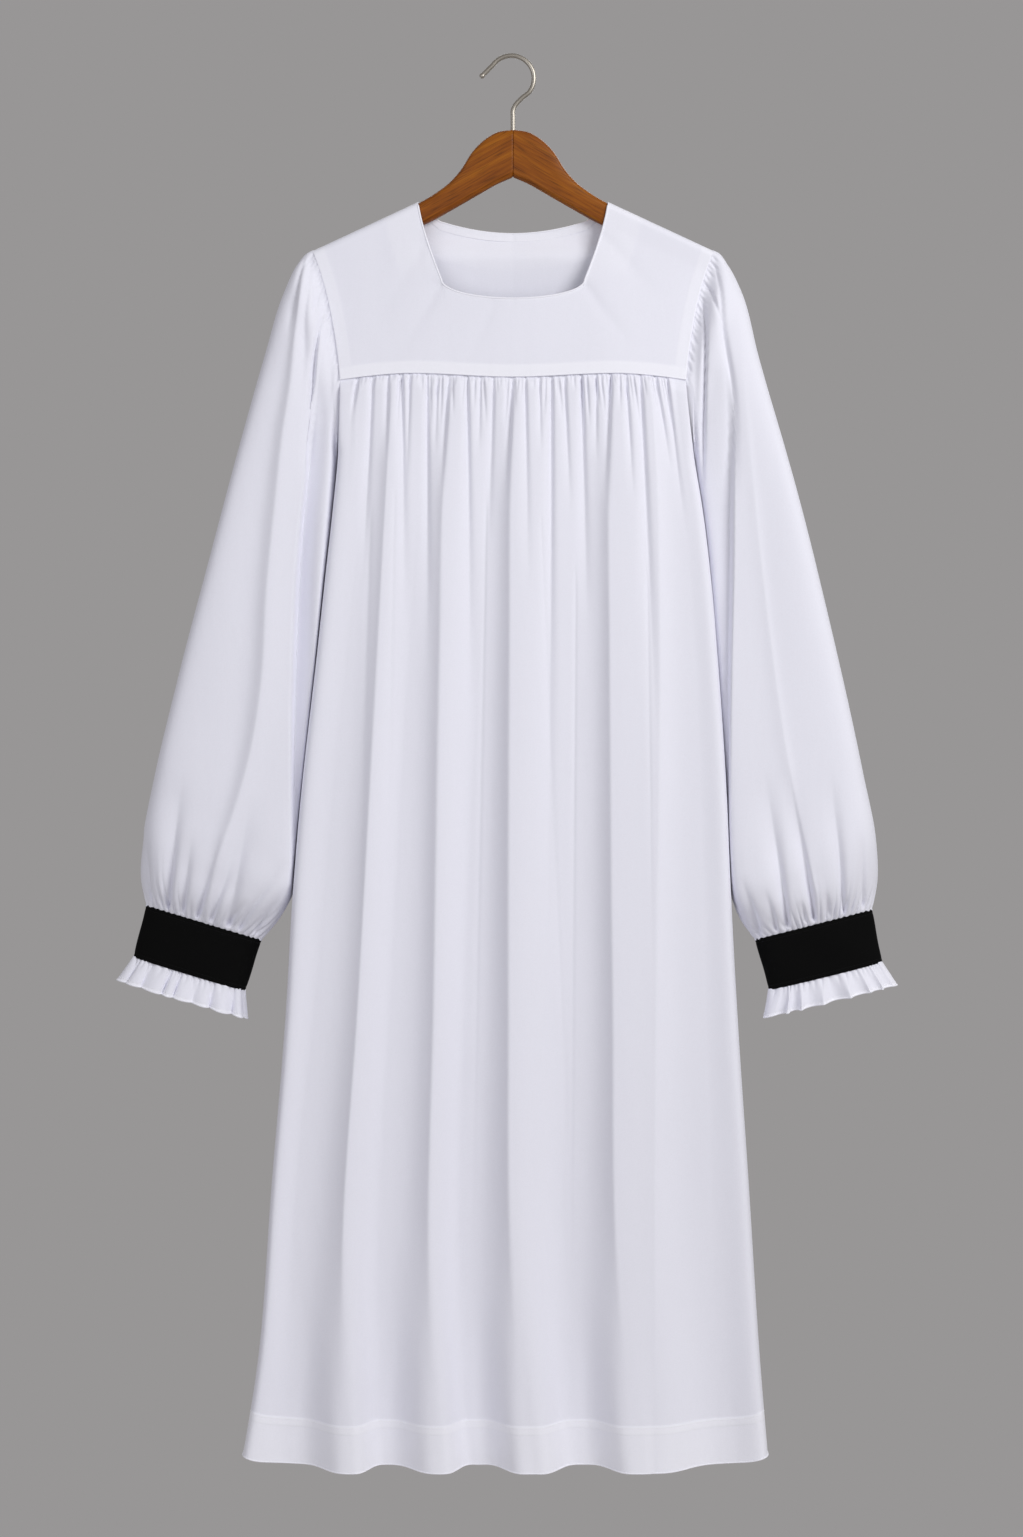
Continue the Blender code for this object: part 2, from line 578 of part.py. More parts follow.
def cloth(name, net, wall, surface, collection, round_tube=False, turned=False, thick_rows=0):
    """A wall of cloth whose outer face passes through the net's rows and columns of points."""
    if round_tube:
        net = np.concatenate([net, net[:, :1]], axis=1)
    rows, columns = net.shape[:2]
    shape = bmesh.new()
    bmesh.ops.create_grid(shape, x_segments=columns - 1, y_segments=rows - 1, size=1)
    for vertex, place in zip(shape.verts, net.reshape(-1, 3)):
        vertex.co = place
    if round_tube:
        bmesh.ops.remove_doubles(shape, verts=shape.verts, dist=1e-6)
    if turned:
        bmesh.ops.reverse_faces(shape, faces=shape.faces)
    mesh = bpy.data.meshes.new(name)
    shape.to_mesh(mesh)
    shape.free()
    mesh.materials.append(surface)
    piece = bpy.data.objects.new(name, mesh)
    collection.objects.link(piece)
    solidify = piece.modifiers.new("Wall", "SOLIDIFY")
    solidify.thickness = wall
    solidify.offset = -1
    if thick_rows:
        group = piece.vertex_groups.new(name="Hem")
        group.add(list(range((rows - thick_rows) * columns, rows * columns)), 1.0, "REPLACE")
        solidify.thickness = HEM_WALL
        solidify.vertex_group = "Hem"
        solidify.thickness_vertex_group = wall / HEM_WALL
    mesh.shade_smooth()
    return piece


def mesh_from_curve(piece, collection):
    """A mesh object in place of a curve object, with its caps welded on."""
    graph = bpy.context.evaluated_depsgraph_get()
    mesh = bpy.data.meshes.new_from_object(piece.evaluated_get(graph))
    welded = bmesh.new()
    welded.from_mesh(mesh)
    bmesh.ops.remove_doubles(welded, verts=welded.verts, dist=1e-6)
    bmesh.ops.recalc_face_normals(welded, faces=welded.faces)
    welded.to_mesh(mesh)
    welded.free()
    name = piece.name
    made = bpy.data.objects.new(name + "_mesh", mesh)
    made.matrix_world = piece.matrix_world
    collection.objects.link(made)
    curve = piece.data
    bpy.data.objects.remove(piece)
    bpy.data.curves.remove(curve)
    made.name = name
    return made


def arm_outline(side):
    """The outline of one hanger arm in the front view, carried past the middle joint for the cut."""
    first = HANGER_SECTIONS[0]
    last = HANGER_SECTIONS[-1]
    radius = HANGER_TIP_RADIUS
    tilt = math.atan(SHOULDER_SLOPE)
    tip_x = HANGER_TIP_X - radius
    tip_top = last.top - (tip_x - last.x) * SHOULDER_SLOPE
    past = -HANGER_CUT_ALLOWANCE
    top = [(past, first.top)] + [(row.x, row.top) for row in HANGER_SECTIONS]
    under = [(past, first.underside)] + [(row.x, row.underside) for row in HANGER_SECTIONS]
    centre = (tip_x, tip_top - radius / math.cos(tilt))
    tip = []
    for turn in np.radians((90, 50, 10, -30, -70)):
        angle = turn - tilt
        tip.append((centre[0] + radius * math.cos(angle), centre[1] + radius * math.sin(angle)))
    points = top + tip + under[::-1]
    return [(side * x, z) for x, z in points]


def hanger_arm(name, side, surface, collection, cutters):
    """One wooden arm: its outline given thickness, cut square at the joint and grooved for the stem."""
    curve = bpy.data.curves.new(name, "CURVE")
    curve.dimensions = "2D"
    curve.fill_mode = "BOTH"
    curve.extrude = HANGER_THICKNESS / 2 - HANGER_ROUNDING
    curve.bevel_depth = HANGER_ROUNDING
    curve.bevel_resolution = 1
    curve.offset = -HANGER_ROUNDING
    outline = arm_outline(side)
    spline = curve.splines.new("POLY")
    spline.points.add(len(outline) - 1)
    for point, (x, z) in zip(spline.points, outline):
        point.co = (x, z, 0, 1)
    spline.use_cyclic_u = True
    arm = bpy.data.objects.new(name, curve)
    arm.rotation_euler = (math.pi / 2, 0, 0)
    collection.objects.link(arm)
    bpy.context.view_layer.update()
    arm = mesh_from_curve(arm, collection)
    arm.data.materials.clear()
    arm.data.materials.append(surface)
    for cutter in cutters:
        cut = arm.modifiers.new(cutter.name, "BOOLEAN")
        cut.operation = "DIFFERENCE"
        cut.object = cutter
    arm.data.shade_smooth()
    arm.data.set_sharp_from_angle(angle=math.radians(35))
    return arm


def cutter(made, name, collection):
    """The active object as a cutter that isn't part of the model."""
    made.name = name
    made.hide_render = True
    made.display_type = "WIRE"
    for other in list(made.users_collection):
        other.objects.unlink(made)
    collection.objects.link(made)
    return made


def joint_cutter(side, collection):
    """A block that cuts an arm square beside the middle."""
    bpy.ops.mesh.primitive_cube_add(size=JOINT_CUTTER_SIZE)
    block = bpy.context.object
    block.location = (side * (HANGER_JOINT_GAP / 2 - JOINT_CUTTER_SIZE / 2), 0, JOINT_CUTTER_Z)
    return cutter(block, f"joint_cut_{side}", collection)


def stem_cutter(collection):
    """A round hole for the hook's stem."""
    bottom = STEM_BOTTOM_Z - WIRE_CLEARANCE
    bpy.ops.mesh.primitive_cylinder_add(
        vertices=16, radius=WIRE_DIAMETER / 2 + 2 * WIRE_CLEARANCE, depth=STEM_CUTTER_DEPTH
    )
    hole = bpy.context.object
    hole.location = (0, 0, bottom + STEM_CUTTER_DEPTH / 2)
    return cutter(hole, "stem_cut", collection)


def hook_route():
    """The middle line of the hook's wire as x and z, from the stem's end to the ball at the tip."""
    centre_z = WIRE_DIAMETER / 2 - HOOK_RADIUS
    route = [(0.0, STEM_BOTTOM_Z), (0.0, (STEM_BOTTOM_Z + STEM_TOP_Z) / 2), (0.0, STEM_TOP_Z)]
    route += HOOK_NECK
    for angle in np.radians(HOOK_ANGLES):
        route.append((HOOK_CENTRE_X + HOOK_RADIUS * math.cos(angle), centre_z + HOOK_RADIUS * math.sin(angle)))
    route += HOOK_TIP
    return route


def hanger_hook(name, surface, collection):
    """The wire hook, a little swollen at its tip."""
    curve = bpy.data.curves.new(name, "CURVE")
    curve.dimensions = "3D"
    curve.bevel_depth = WIRE_DIAMETER / 2
    curve.bevel_resolution = 2
    curve.use_fill_caps = True
    route = hook_route()
    spline = curve.splines.new("POLY")
    spline.points.add(len(route) - 1)
    for point, (x, z) in zip(spline.points, route):
        point.co = (x, 0, z, 1)
    for point, swell in zip(spline.points[-len(HOOK_TIP) :], HOOK_TIP_SWELL):
        point.radius = swell
    hook = bpy.data.objects.new(name, curve)
    curve.materials.append(surface)
    collection.objects.link(hook)
    return hook


def main():
    for old in list(bpy.data.objects):
        bpy.data.objects.remove(old)
    garment = bpy.data.collections.new("Rochet")
    bpy.context.scene.collection.children.link(garment)
    guides = bpy.data.collections.new("Cutters")
    bpy.context.scene.collection.children.link(guides)

    white = material("White cotton", (0.80, 0.79, 0.83), 0.85)
    black = material("Black cotton", (0.012, 0.012, 0.014), 0.8)
    wood = material("Lacquered wood", (0.35, 0.13, 0.04), 0.4)
    nickel = material("Nickel wire", (0.55, 0.53, 0.50), 0.3, 1.0)

    for face, word in ((FRONT, "front"), (BACK, "back")):
        turned = face == FRONT
        cloth(f"yoke_{word}", yoke_net(face), WALL, white, garment, turned=turned)
        cloth(f"body_{word}", tunic_net(face), WALL, white, garment, turned=turned, thick_rows=2)
    cloth("neck_facing", facing_net(), WALL, white, garment)

    for side, word in ((LEFT, "left"), (RIGHT, "right")):
        turned = side == LEFT
        cloth(f"sleeve_{word}", sleeve_net(side), WALL, white, garment, round_tube=True, turned=turned)
        cloth(f"cuff_{word}", band_net(side), BAND_WALL, black, garment, round_tube=True, turned=turned)
        cloth(f"frill_{word}", frill_net(side), WALL, white, garment, round_tube=True, turned=turned)

    hole = stem_cutter(guides)
    for side, word in ((LEFT, "left"), (RIGHT, "right")):
        cuts = (joint_cutter(side, guides), hole)
        hanger_arm(f"hanger_arm_{word}", side, wood, garment, cuts)
    hanger_hook("hanger_hook", nickel, garment)


main()
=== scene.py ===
# %% [markdown]
# # A rochet on its hanger
# A rochet is a white vestment: a plain yoke, a wide tunic gathered into it, and full sleeves gathered
# into wrist bands. Here it hangs flat on a wooden hanger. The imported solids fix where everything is.
# Each piece of cloth is made again over its solid as a fine net of points, worked out with numpy.

# %% The fixed frame
import math

import bmesh
import bpy
import numpy as np
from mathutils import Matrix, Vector


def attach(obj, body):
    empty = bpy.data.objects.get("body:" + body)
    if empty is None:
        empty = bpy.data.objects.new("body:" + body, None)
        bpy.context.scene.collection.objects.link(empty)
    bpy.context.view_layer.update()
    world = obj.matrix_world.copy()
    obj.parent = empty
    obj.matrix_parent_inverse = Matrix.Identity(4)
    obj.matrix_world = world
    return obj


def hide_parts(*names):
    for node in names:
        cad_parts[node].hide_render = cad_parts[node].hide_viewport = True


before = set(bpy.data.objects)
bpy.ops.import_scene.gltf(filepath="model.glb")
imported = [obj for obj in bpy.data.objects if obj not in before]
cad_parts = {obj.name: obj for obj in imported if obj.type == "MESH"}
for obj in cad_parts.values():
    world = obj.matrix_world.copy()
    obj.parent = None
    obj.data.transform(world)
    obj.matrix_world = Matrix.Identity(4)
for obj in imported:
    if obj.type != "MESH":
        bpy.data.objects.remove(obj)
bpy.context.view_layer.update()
body = "root"
print("solids:", len(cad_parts))

# %% [markdown]
# ## Measures
# All sizes are in metres. The front of the garment faces -Y, and the origin is inside the hook's crown.
# They repeat the driving sizes of the solids, so that the fine cloth lies where the solids are.

# %% Driving sizes
FRONT, BACK = -1, 1
LEFT, RIGHT = -1, 1
SIDES = ((LEFT, "left"), (RIGHT, "right"))

CLOTH = 0.0009
BAND_CLOTH = 0.0018
HEM_DEPTH = 0.048
TUCK_DEPTH = 0.0085
SEAM_ALLOWANCE = 0.013

SIDE_NECK_X, SIDE_NECK_Z = 0.1007, -0.1526
SHOULDER_X, SHOULDER_SLOPE = 0.2126, 0.465
LYING_ROUND = 0.0089
YOKE_TOP_INSET = 0.00048
NECK_CORNER_X, NECK_CORNER_Z = 0.0755, -0.2370
NECK_SAG, NECK_CURVE = 0.020, 1.35
BACK_NECK_X, BACK_NECK_Z, BACK_NECK_SAG = 0.078, -0.1720, 0.0125
YOKE_SEAM_Z, YOKE_SEAM_X = -0.3370, 0.1823
YOKE_SEAM_WAVE, YOKE_SEAM_END_FALL = 0.0040, 0.0070
YOKE_DEPTH, YOKE_DEPTH_FALL = 0.030, 0.003
HANGER_FACE_DROP = 0.026
FACING_DEPTH = 0.009
UNDERARM_Z = -0.420
UNDERARM_X = {LEFT: 0.1845, RIGHT: 0.1905}
HEM_Z, HEM_SIDE_RISE = -1.485, 0.013
SIDE_SEAM_INSET = 0.0007
ARMHOLE_GAP = 0.0011

# %% [markdown]
# ## Tables
# A garment's shape is easiest to hold as a few rows of sizes, as a pattern cutter notes them. A smooth
# line passes through each column. Straight joins would show as kinks in the cloth's shine.

# %% The smooth line
def smooth_line(at, places, values):
    """The values at the places, joined by cubic pieces whose slopes are those of the neighbours."""
    places, values, at = (np.asarray(item, float) for item in (places, values, at))
    if places[0] > places[-1]:
        places, at = -places, -at
    slopes = np.gradient(values, places, axis=0)
    at = np.clip(at, places[0], places[-1])
    low = np.clip(np.searchsorted(places, at, side="right") - 1, 0, len(places) - 2)
    span = places[low + 1] - places[low]
    t = (at - places[low]) / span
    shape = t.shape + (1,) * (values.ndim - 1)
    t, span = t.reshape(shape), span.reshape(shape)
    return (
        values[low] * (1 + 2 * t) * (1 - t) ** 2
        + values[low + 1] * t**2 * (3 - 2 * t)
        + slopes[low] * span * t * (1 - t) ** 2
        - slopes[low + 1] * span * t**2 * (1 - t)
    )


def quarter_round(t):
    """Rises from 0 to 1 as a quarter of a circle does, and stays at 1."""
    return np.sqrt(1 - (1 - np.clip(t, 0, 1)) ** 2)


def soft_step(t):
    """Rises from 0 to 1 as half a cosine wave does, level at both ends."""
    return (1 - np.cos(np.pi * np.clip(t, 0, 1))) / 2


def distances(path):
    """How far along a path of points each one lies."""
    return np.pad(np.cumsum(np.linalg.norm(np.diff(path, axis=0), axis=1)), (1, 0))


def unit(vectors):
    """The vectors at a length of 1."""
    return vectors / np.linalg.norm(vectors, axis=-1, keepdims=True)


def rising(start, t):
    """Rises as the soft step does, but from a first share instead of 0."""
    return start + (1 - start) * soft_step(t)


def crowded(t, amount):
    """Places from 0 to 1, moved by one sine wave so that they lie closer together at both ends."""
    return t - amount * np.sin(2 * np.pi * t) / (2 * np.pi)


def spaced(length, finest, coarsest, growth, rows):
    """Places along a length whose step grows with the distance from the nearer end, up to a limit."""
    fine = np.linspace(0, length, 4000)
    step = np.minimum(finest + growth * np.minimum(fine, length - fine), coarsest)
    count = np.pad(np.cumsum(np.diff(fine) * (1 / step[1:] + 1 / step[:-1]) / 2), (1, 0))
    return np.interp(np.linspace(0, count[-1], rows), count, fine)


STEEP_SIDE, SLOW_SIDE, SLOWEST_SIDE = 0.75, 1.35, 1.6
FINEST_HALF_WIDTH = 0.0008
CREASE_RUN_IN = 0.010


def bell(off, wide, left, right):
    """1 on a crease's line, less beside it: e to the power of minus (distance / width) to the power 1.5.

    Either side has its own share of the half width.
    """
    return np.exp(-np.abs(off / (wide * np.where(off < 0, left, right))) ** 1.5)


def crease(x, z, row):
    """Depth of one crease, full at its start and nothing at its end. Its right side is the steep one."""
    x0, z0, x1, z1, wide_start, wide_end, deep = row
    run_x, run_z = x1 - x0, z1 - z0
    length = math.hypot(run_x, run_z)
    t = ((x - x0) * run_x + (z - z0) * run_z) / length**2
    off = ((x - x0) * run_z - (z - z0) * run_x) / length * np.sign(run_z)
    wide = wide_start + (wide_end - wide_start) * np.clip(t, 0, 1)
    run_in = soft_step(1 + t * length / CREASE_RUN_IN)
    fade = np.where(t < 0, run_in, np.cos(np.pi / 2 * np.clip(t, 0, 1)))
    return deep * fade * bell(off, wide, SLOW_SIDE, STEEP_SIDE)


def curved(x, z, rows, left, right):
    """A table's last column as a smooth line down the cloth, and the bell about its curved line."""
    middle, wide, amount = smooth_line(z, rows[:, 0], rows[:, 1:]).transpose(2, 0, 1)
    inside = (z < rows[0, 0]) & (z > rows[-1, 0])
    return amount, inside * bell(x - middle, np.maximum(wide, FINEST_HALF_WIDTH), left, right)


def valley(x, z, rows):
    """Depth of a curved crease whose place, half width and depth are smooth lines down the cloth.

    Where the depths are negative it is a ridge.
    """
    rows = np.asarray(rows)
    deep, shape = curved(x, z, rows, SLOW_SIDE, STEEP_SIDE)
    return np.clip(deep, rows[:, 3].min(), rows[:, 3].max()) * shape


def long_crest(x, z, rows):
    """Height of a curved fold: a steep rise on its left up to the crest, a slow fall to the right."""
    high, shape = curved(x, z, np.asarray(rows), STEEP_SIDE, SLOWEST_SIDE)
    return np.maximum(high, 0) * shape


def ripple(x, z, seed, height):
    """Faint unevenness: five long sine waves, their directions and lengths drawn from a seeded list."""
    chance = np.random.default_rng(seed)
    total = np.zeros(np.broadcast(x, z).shape)
    for _ in range(5):
        turn, phase = chance.uniform(-0.7, 0.7), chance.uniform(0, 2 * np.pi)
        length = chance.uniform(0.05, 0.16)
        total += np.sin(2 * np.pi * (x * np.cos(turn) + 0.35 * z * np.sin(turn)) / length + phase)
    return height * total / 5


# %% The tunic's levels and the armhole
ARMHOLE_Z = (-0.2046, -0.2300, -0.2540, -0.2870, -0.3180, -0.3440)
ARMHOLE_X = (0.2126, 0.2035, 0.1968, 0.1899, 0.1850, 0.1823)

# Columns: height, left side seam, right side seam, stand from the side seams, half height of a fold
TUNIC = np.array((
    (-0.340, -0.1823, 0.1823, 0.030, 0.0000),
    (-0.380, -0.1828, 0.1860, 0.033, 0.0016),
    (-0.420, -0.1845, 0.1905, 0.036, 0.0030),
    (-0.483, -0.1905, 0.2005, 0.039, 0.0038),
    (-0.560, -0.1990, 0.2095, 0.042, 0.0045),
    (-0.640, -0.2075, 0.2160, 0.044, 0.0053),
    (-0.780, -0.2232, 0.2252, 0.047, 0.0064),
    (-0.900, -0.2330, 0.2302, 0.049, 0.0071),
    (-1.000, -0.2385, 0.2355, 0.051, 0.0077),
    (-1.190, -0.2540, 0.2480, 0.053, 0.0096),
    (-1.380, -0.2690, 0.2602, 0.054, 0.0118),
    (-1.485, -0.2860, 0.2690, 0.054, 0.0150),
))

# %% [markdown]
# ## Long folds
# The tunic falls in a few long folds. Each has a steep flank, dark because it faces away from the
# light, and a broad crest beside it that rolls slowly down to the next. A row follows one flank down
# the panel. Shorter folds start at the gathers and fade, and they have a table of their own.

# %% The folds down the tunic
FOLD_HEIGHTS = (-0.340, -0.447, -0.627, -0.998, -1.271, -1.485)
FOLD_HALF_WIDTHS = (0.007, 0.011, 0.016, 0.023, 0.027, 0.029)
FLANK_POWERS = (2.8, 2.8, 3.0, 3.2, 2.8, 2.0)
HEM_WAVES_START = -1.16

# Columns: where the flank lies at each of the six heights, the side it faces, and its strength
LONG_FOLDS = {
    FRONT: (
        (-0.129, -0.136, -0.147, -0.169, -0.186, -0.177, LEFT, 0.9),
        (-0.065, -0.076, -0.082, -0.090, -0.096, -0.084, LEFT, 0.9),
        (0.000, -0.006, -0.009, -0.012, -0.010, 0.012, LEFT, 1.1),
        (0.103, 0.097, 0.096, 0.097, 0.100, 0.123, LEFT, 1.0),
        (0.144, 0.151, 0.154, 0.150, 0.148, 0.148, RIGHT, 0.7),
    ),
    BACK: (
        (-0.132, -0.140, -0.150, -0.172, -0.186, -0.182, LEFT, 0.8),
        (-0.052, -0.058, -0.068, -0.078, -0.086, -0.078, LEFT, 0.9),
        (0.026, 0.022, 0.020, 0.018, 0.020, 0.030, LEFT, 0.8),
        (0.098, 0.104, 0.108, 0.112, 0.116, 0.130, LEFT, 0.9),
        (0.146, 0.158, 0.160, 0.162, 0.160, 0.156, RIGHT, 0.7),
    ),
}

# Columns: x and height at the seam, x and height where it ends, half width at both ends, depth
SHORT_FOLDS = {
    FRONT: (
        (-0.163, -0.338, -0.190, -0.470, 0.0022, 0.006, 0.0046),
        (-0.147, -0.337, -0.158, -0.560, 0.0020, 0.006, 0.0034),
        (-0.131, -0.336, -0.134, -0.430, 0.0018, 0.004, 0.0036),
        (-0.117, -0.335, -0.113, -0.590, 0.0020, 0.007, 0.0046),
        (-0.108, -0.335, -0.112, -0.460, 0.0016, 0.004, 0.0030),
        (-0.090, -0.335, -0.089, -0.640, 0.0016, 0.006, 0.0040),
        (-0.079, -0.335, -0.082, -0.420, 0.0014, 0.003, 0.0032),
        (-0.067, -0.335, -0.076, -0.470, 0.0018, 0.004, 0.0044),
        (-0.048, -0.336, -0.044, -0.700, 0.0018, 0.008, 0.0044),
        (-0.034, -0.337, -0.036, -0.420, 0.0015, 0.003, 0.0036),
        (-0.020, -0.338, -0.026, -0.520, 0.0018, 0.005, 0.0036),
        (0.000, -0.341, -0.008, -0.470, 0.0020, 0.004, 0.0050),
        (0.013, -0.340, 0.016, -0.560, 0.0016, 0.006, 0.0034),
        (0.028, -0.339, 0.029, -0.420, 0.0014, 0.003, 0.0034),
        (0.041, -0.338, 0.037, -0.950, 0.0020, 0.011, 0.0046),
        (0.054, -0.337, 0.060, -0.480, 0.0016, 0.004, 0.0036),
        (0.072, -0.336, 0.078, -0.600, 0.0018, 0.007, 0.0042),
        (0.088, -0.336, 0.087, -0.430, 0.0014, 0.003, 0.0034),
        (0.103, -0.336, 0.097, -0.480, 0.0020, 0.004, 0.0050),
        (0.119, -0.337, 0.126, -0.470, 0.0016, 0.004, 0.0036),
        (0.134, -0.337, 0.150, -0.720, 0.0020, 0.009, 0.0046),
        (0.150, -0.339, 0.166, -0.440, 0.0018, 0.004, 0.0040),
        (0.162, -0.341, 0.180, -0.500, 0.0018, 0.005, 0.0030),
        (-0.150, -0.500, -0.162, -1.000, 0.0030, 0.004, 0.0010),
        (-0.124, -0.470, -0.132, -0.900, 0.0016, 0.003, 0.0007),
        (-0.028, -0.480, -0.044, -1.300, 0.0016, 0.003, 0.0008),
        (0.030, -0.500, 0.062, -1.250, 0.0016, 0.003, 0.0007),
        (0.066, -0.560, 0.060, -1.360, 0.0016, 0.003, 0.0008),
        (0.141, -0.560, 0.146, -1.000, 0.0016, 0.003, 0.0008),
    ),
    BACK: (
        (-0.158, -0.338, -0.178, -0.480, 0.0024, 0.006, 0.0040),
        (-0.128, -0.336, -0.134, -0.440, 0.0022, 0.004, 0.0034),
        (-0.098, -0.335, -0.104, -0.620, 0.0024, 0.009, 0.0040),
        (-0.056, -0.336, -0.060, -0.460, 0.0022, 0.004, 0.0040),
        (-0.022, -0.338, -0.026, -0.540, 0.0022, 0.006, 0.0036),
        (0.026, -0.340, 0.024, -0.450, 0.0022, 0.004, 0.0040),
        (0.056, -0.337, 0.062, -0.820, 0.0024, 0.010, 0.0038),
        (0.096, -0.336, 0.100, -0.460, 0.0022, 0.004, 0.0042),
        (0.122, -0.337, 0.130, -0.520, 0.0022, 0.006, 0.0036),
        (0.150, -0.339, 0.166, -0.470, 0.0022, 0.005, 0.0036),
    ),
}

# %% [markdown]
# ## Camera, light and floor
# The camera stands level with the middle of the garment, 3.8 m in front of it, so the hook, the hem and
# both frills keep their places in the frame. A large soft light high on the right shades the left flank
# of each fold. The plain world fills the shadows. A small pale floor lies below, out of the main view.

# %% Colours and the camera
def linear(hex_colour):
    """An sRGB hex colour as linear red, green and blue."""
    parts = [int(hex_colour[i : i + 2], 16) / 255 for i in (1, 3, 5)]
    return tuple(p / 12.92 if p <= 0.04045 else ((p + 0.055) / 1.055) ** 2.4 for p in parts)


def in_scene(name, data):
    """An object with this mesh, camera or light, put into the scene."""
    made = bpy.data.objects.new(name, data)
    bpy.context.scene.collection.objects.link(made)
    return made


CAMERA_DISTANCE = 3.8
PICTURE_HEIGHT = 1.629
camera_data = bpy.data.cameras.new("Camera")
camera_data.sensor_width = 36.0
camera_data.lens = camera_data.sensor_width * CAMERA_DISTANCE / PICTURE_HEIGHT
camera = in_scene("Camera", camera_data)
camera.location = (-0.0016, -CAMERA_DISTANCE, -0.753)
camera.rotation_euler = (math.pi / 2, 0, 0)
bpy.context.scene.camera = camera
print("lens", round(camera_data.lens, 1), "mm")


# %% Lights and world
def area_light(name, place, target, size, power, colour):
    """A square soft light at a place, turned to a target."""
    data = bpy.data.lights.new(name, "AREA")
    data.size = size
    data.energy = power
    data.color = linear(colour)
    light = in_scene(name, data)
    light.location = place
    light.rotation_euler = (Vector(target) - Vector(place)).to_track_quat("-Z", "Y").to_euler()
    return light


GARMENT_MIDDLE = (0, 0, -0.75)
area_light("Key", (2.2, -2.3, 0.8), GARMENT_MIDDLE, 1.7, 74, "#ffffff")
area_light("Fill", (-1.9, -2.9, -0.4), GARMENT_MIDDLE, 2.4, 27, "#f6f8ff")
area_light("Back", (0.4, 2.6, 0.5), GARMENT_MIDDLE, 2.0, 30, "#ffffff")

world = bpy.data.worlds.new("Studio grey")
world.use_nodes = True
world.node_tree.nodes["Background"].inputs["Color"].default_value = (*linear("#989696"), 1)
bpy.context.scene.world = world
bpy.context.scene.view_settings.view_transform = "Standard"


# %% [markdown]
# ## Materials
# One small function adds a node, sets it and links it. A few more make the patterns that the finishes
# share. Every finish is built from patterns worked out from real sizes, with no image.

# %% The node function and the shared patterns
def add_node(tree, kind, settings=None, links=None):
    """Adds a node, sets its properties and inputs, and links other nodes' outputs into its inputs."""
    node = tree.nodes.new(kind)
    for name, value in (settings or {}).items():
        if isinstance(name, int) or name in node.inputs:
            node.inputs[name].default_value = value
        else:
            setattr(node, name, value)
    for name, source in (links or {}).items():
        tree.links.new(source, node.inputs[name])
    return node


def noise(tree, place, scale, detail, **more):
    """Soft noise over a place, with this many grains to a metre."""
    settings = {"Scale": scale, "Detail": detail, **more}
    return add_node(tree, "ShaderNodeTexNoise", settings, {"Vector": place}).outputs["Fac"]


def mapped(tree, place, **settings):
    """A place turned or stretched."""
    return add_node(tree, "ShaderNodeMapping", settings, {"Vector": place}).outputs[0]


def ranged(tree, value, old, new):
    """A value moved from an old range to a new one, in proportion."""
    settings = {"From Min": old[0], "From Max": old[1], "To Min": new[0], "To Max": new[1]}
    return add_node(tree, "ShaderNodeMapRange", settings, {"Value": value}).outputs[0]


def between(tree, first, second, share):
    """A colour between two hex colours, by a share from another node."""
    settings = {"data_type": "RGBA", 6: (*linear(first), 1), 7: (*linear(second), 1)}
    return add_node(tree, "ShaderNodeMix", settings, {0: share}).outputs[2]


def multiplied(tree, colour, shade):
    """A colour multiplied by a shade of grey."""
    settings = {"data_type": "RGBA", "blend_type": "MULTIPLY", 0: 1.0}
    return add_node(tree, "ShaderNodeMix", settings, {6: colour, 7: shade}).outputs[2]


def bump(tree, height, strength, distance, **under):
    """The direction out of a surface with a bump of a height in metres. Another may lie under it."""
    settings = {"Strength": strength, "Distance": distance}
    return add_node(tree, "ShaderNodeBump", settings, {"Height": height, **under}).outputs[0]


def new_material(name, roughness, metallic=0.0):
    """A material with its node tree and its Principled shader, ready for patterns."""
    made = bpy.data.materials.new(name)
    made.use_nodes = True
    shader = made.node_tree.nodes["Principled BSDF"]
    shader.inputs["Roughness"].default_value = roughness
    shader.inputs["Metallic"].default_value = metallic
    return made, made.node_tree, shader


# %% [markdown]
# White cotton blend in a plain weave. The threads lie about 0.4 mm apart, too fine for these pictures,
# so the weave is drawn at 1.1 mm with a faint bump. Where the cloth is doubled, in hems and seam
# allowances, less light passes through it and it looks whiter. A soft noise stretched down the cloth
# stands for the faint pressing marks that a cotton keeps.

# %% Woven cotton
WEAVE_PITCH = 0.0011
THREAD_HEIGHT = 0.00012
PRESS_MARK, PRESS_HEIGHT = 0.030, 0.0030
SPECKS_PER_METRE = 900.0


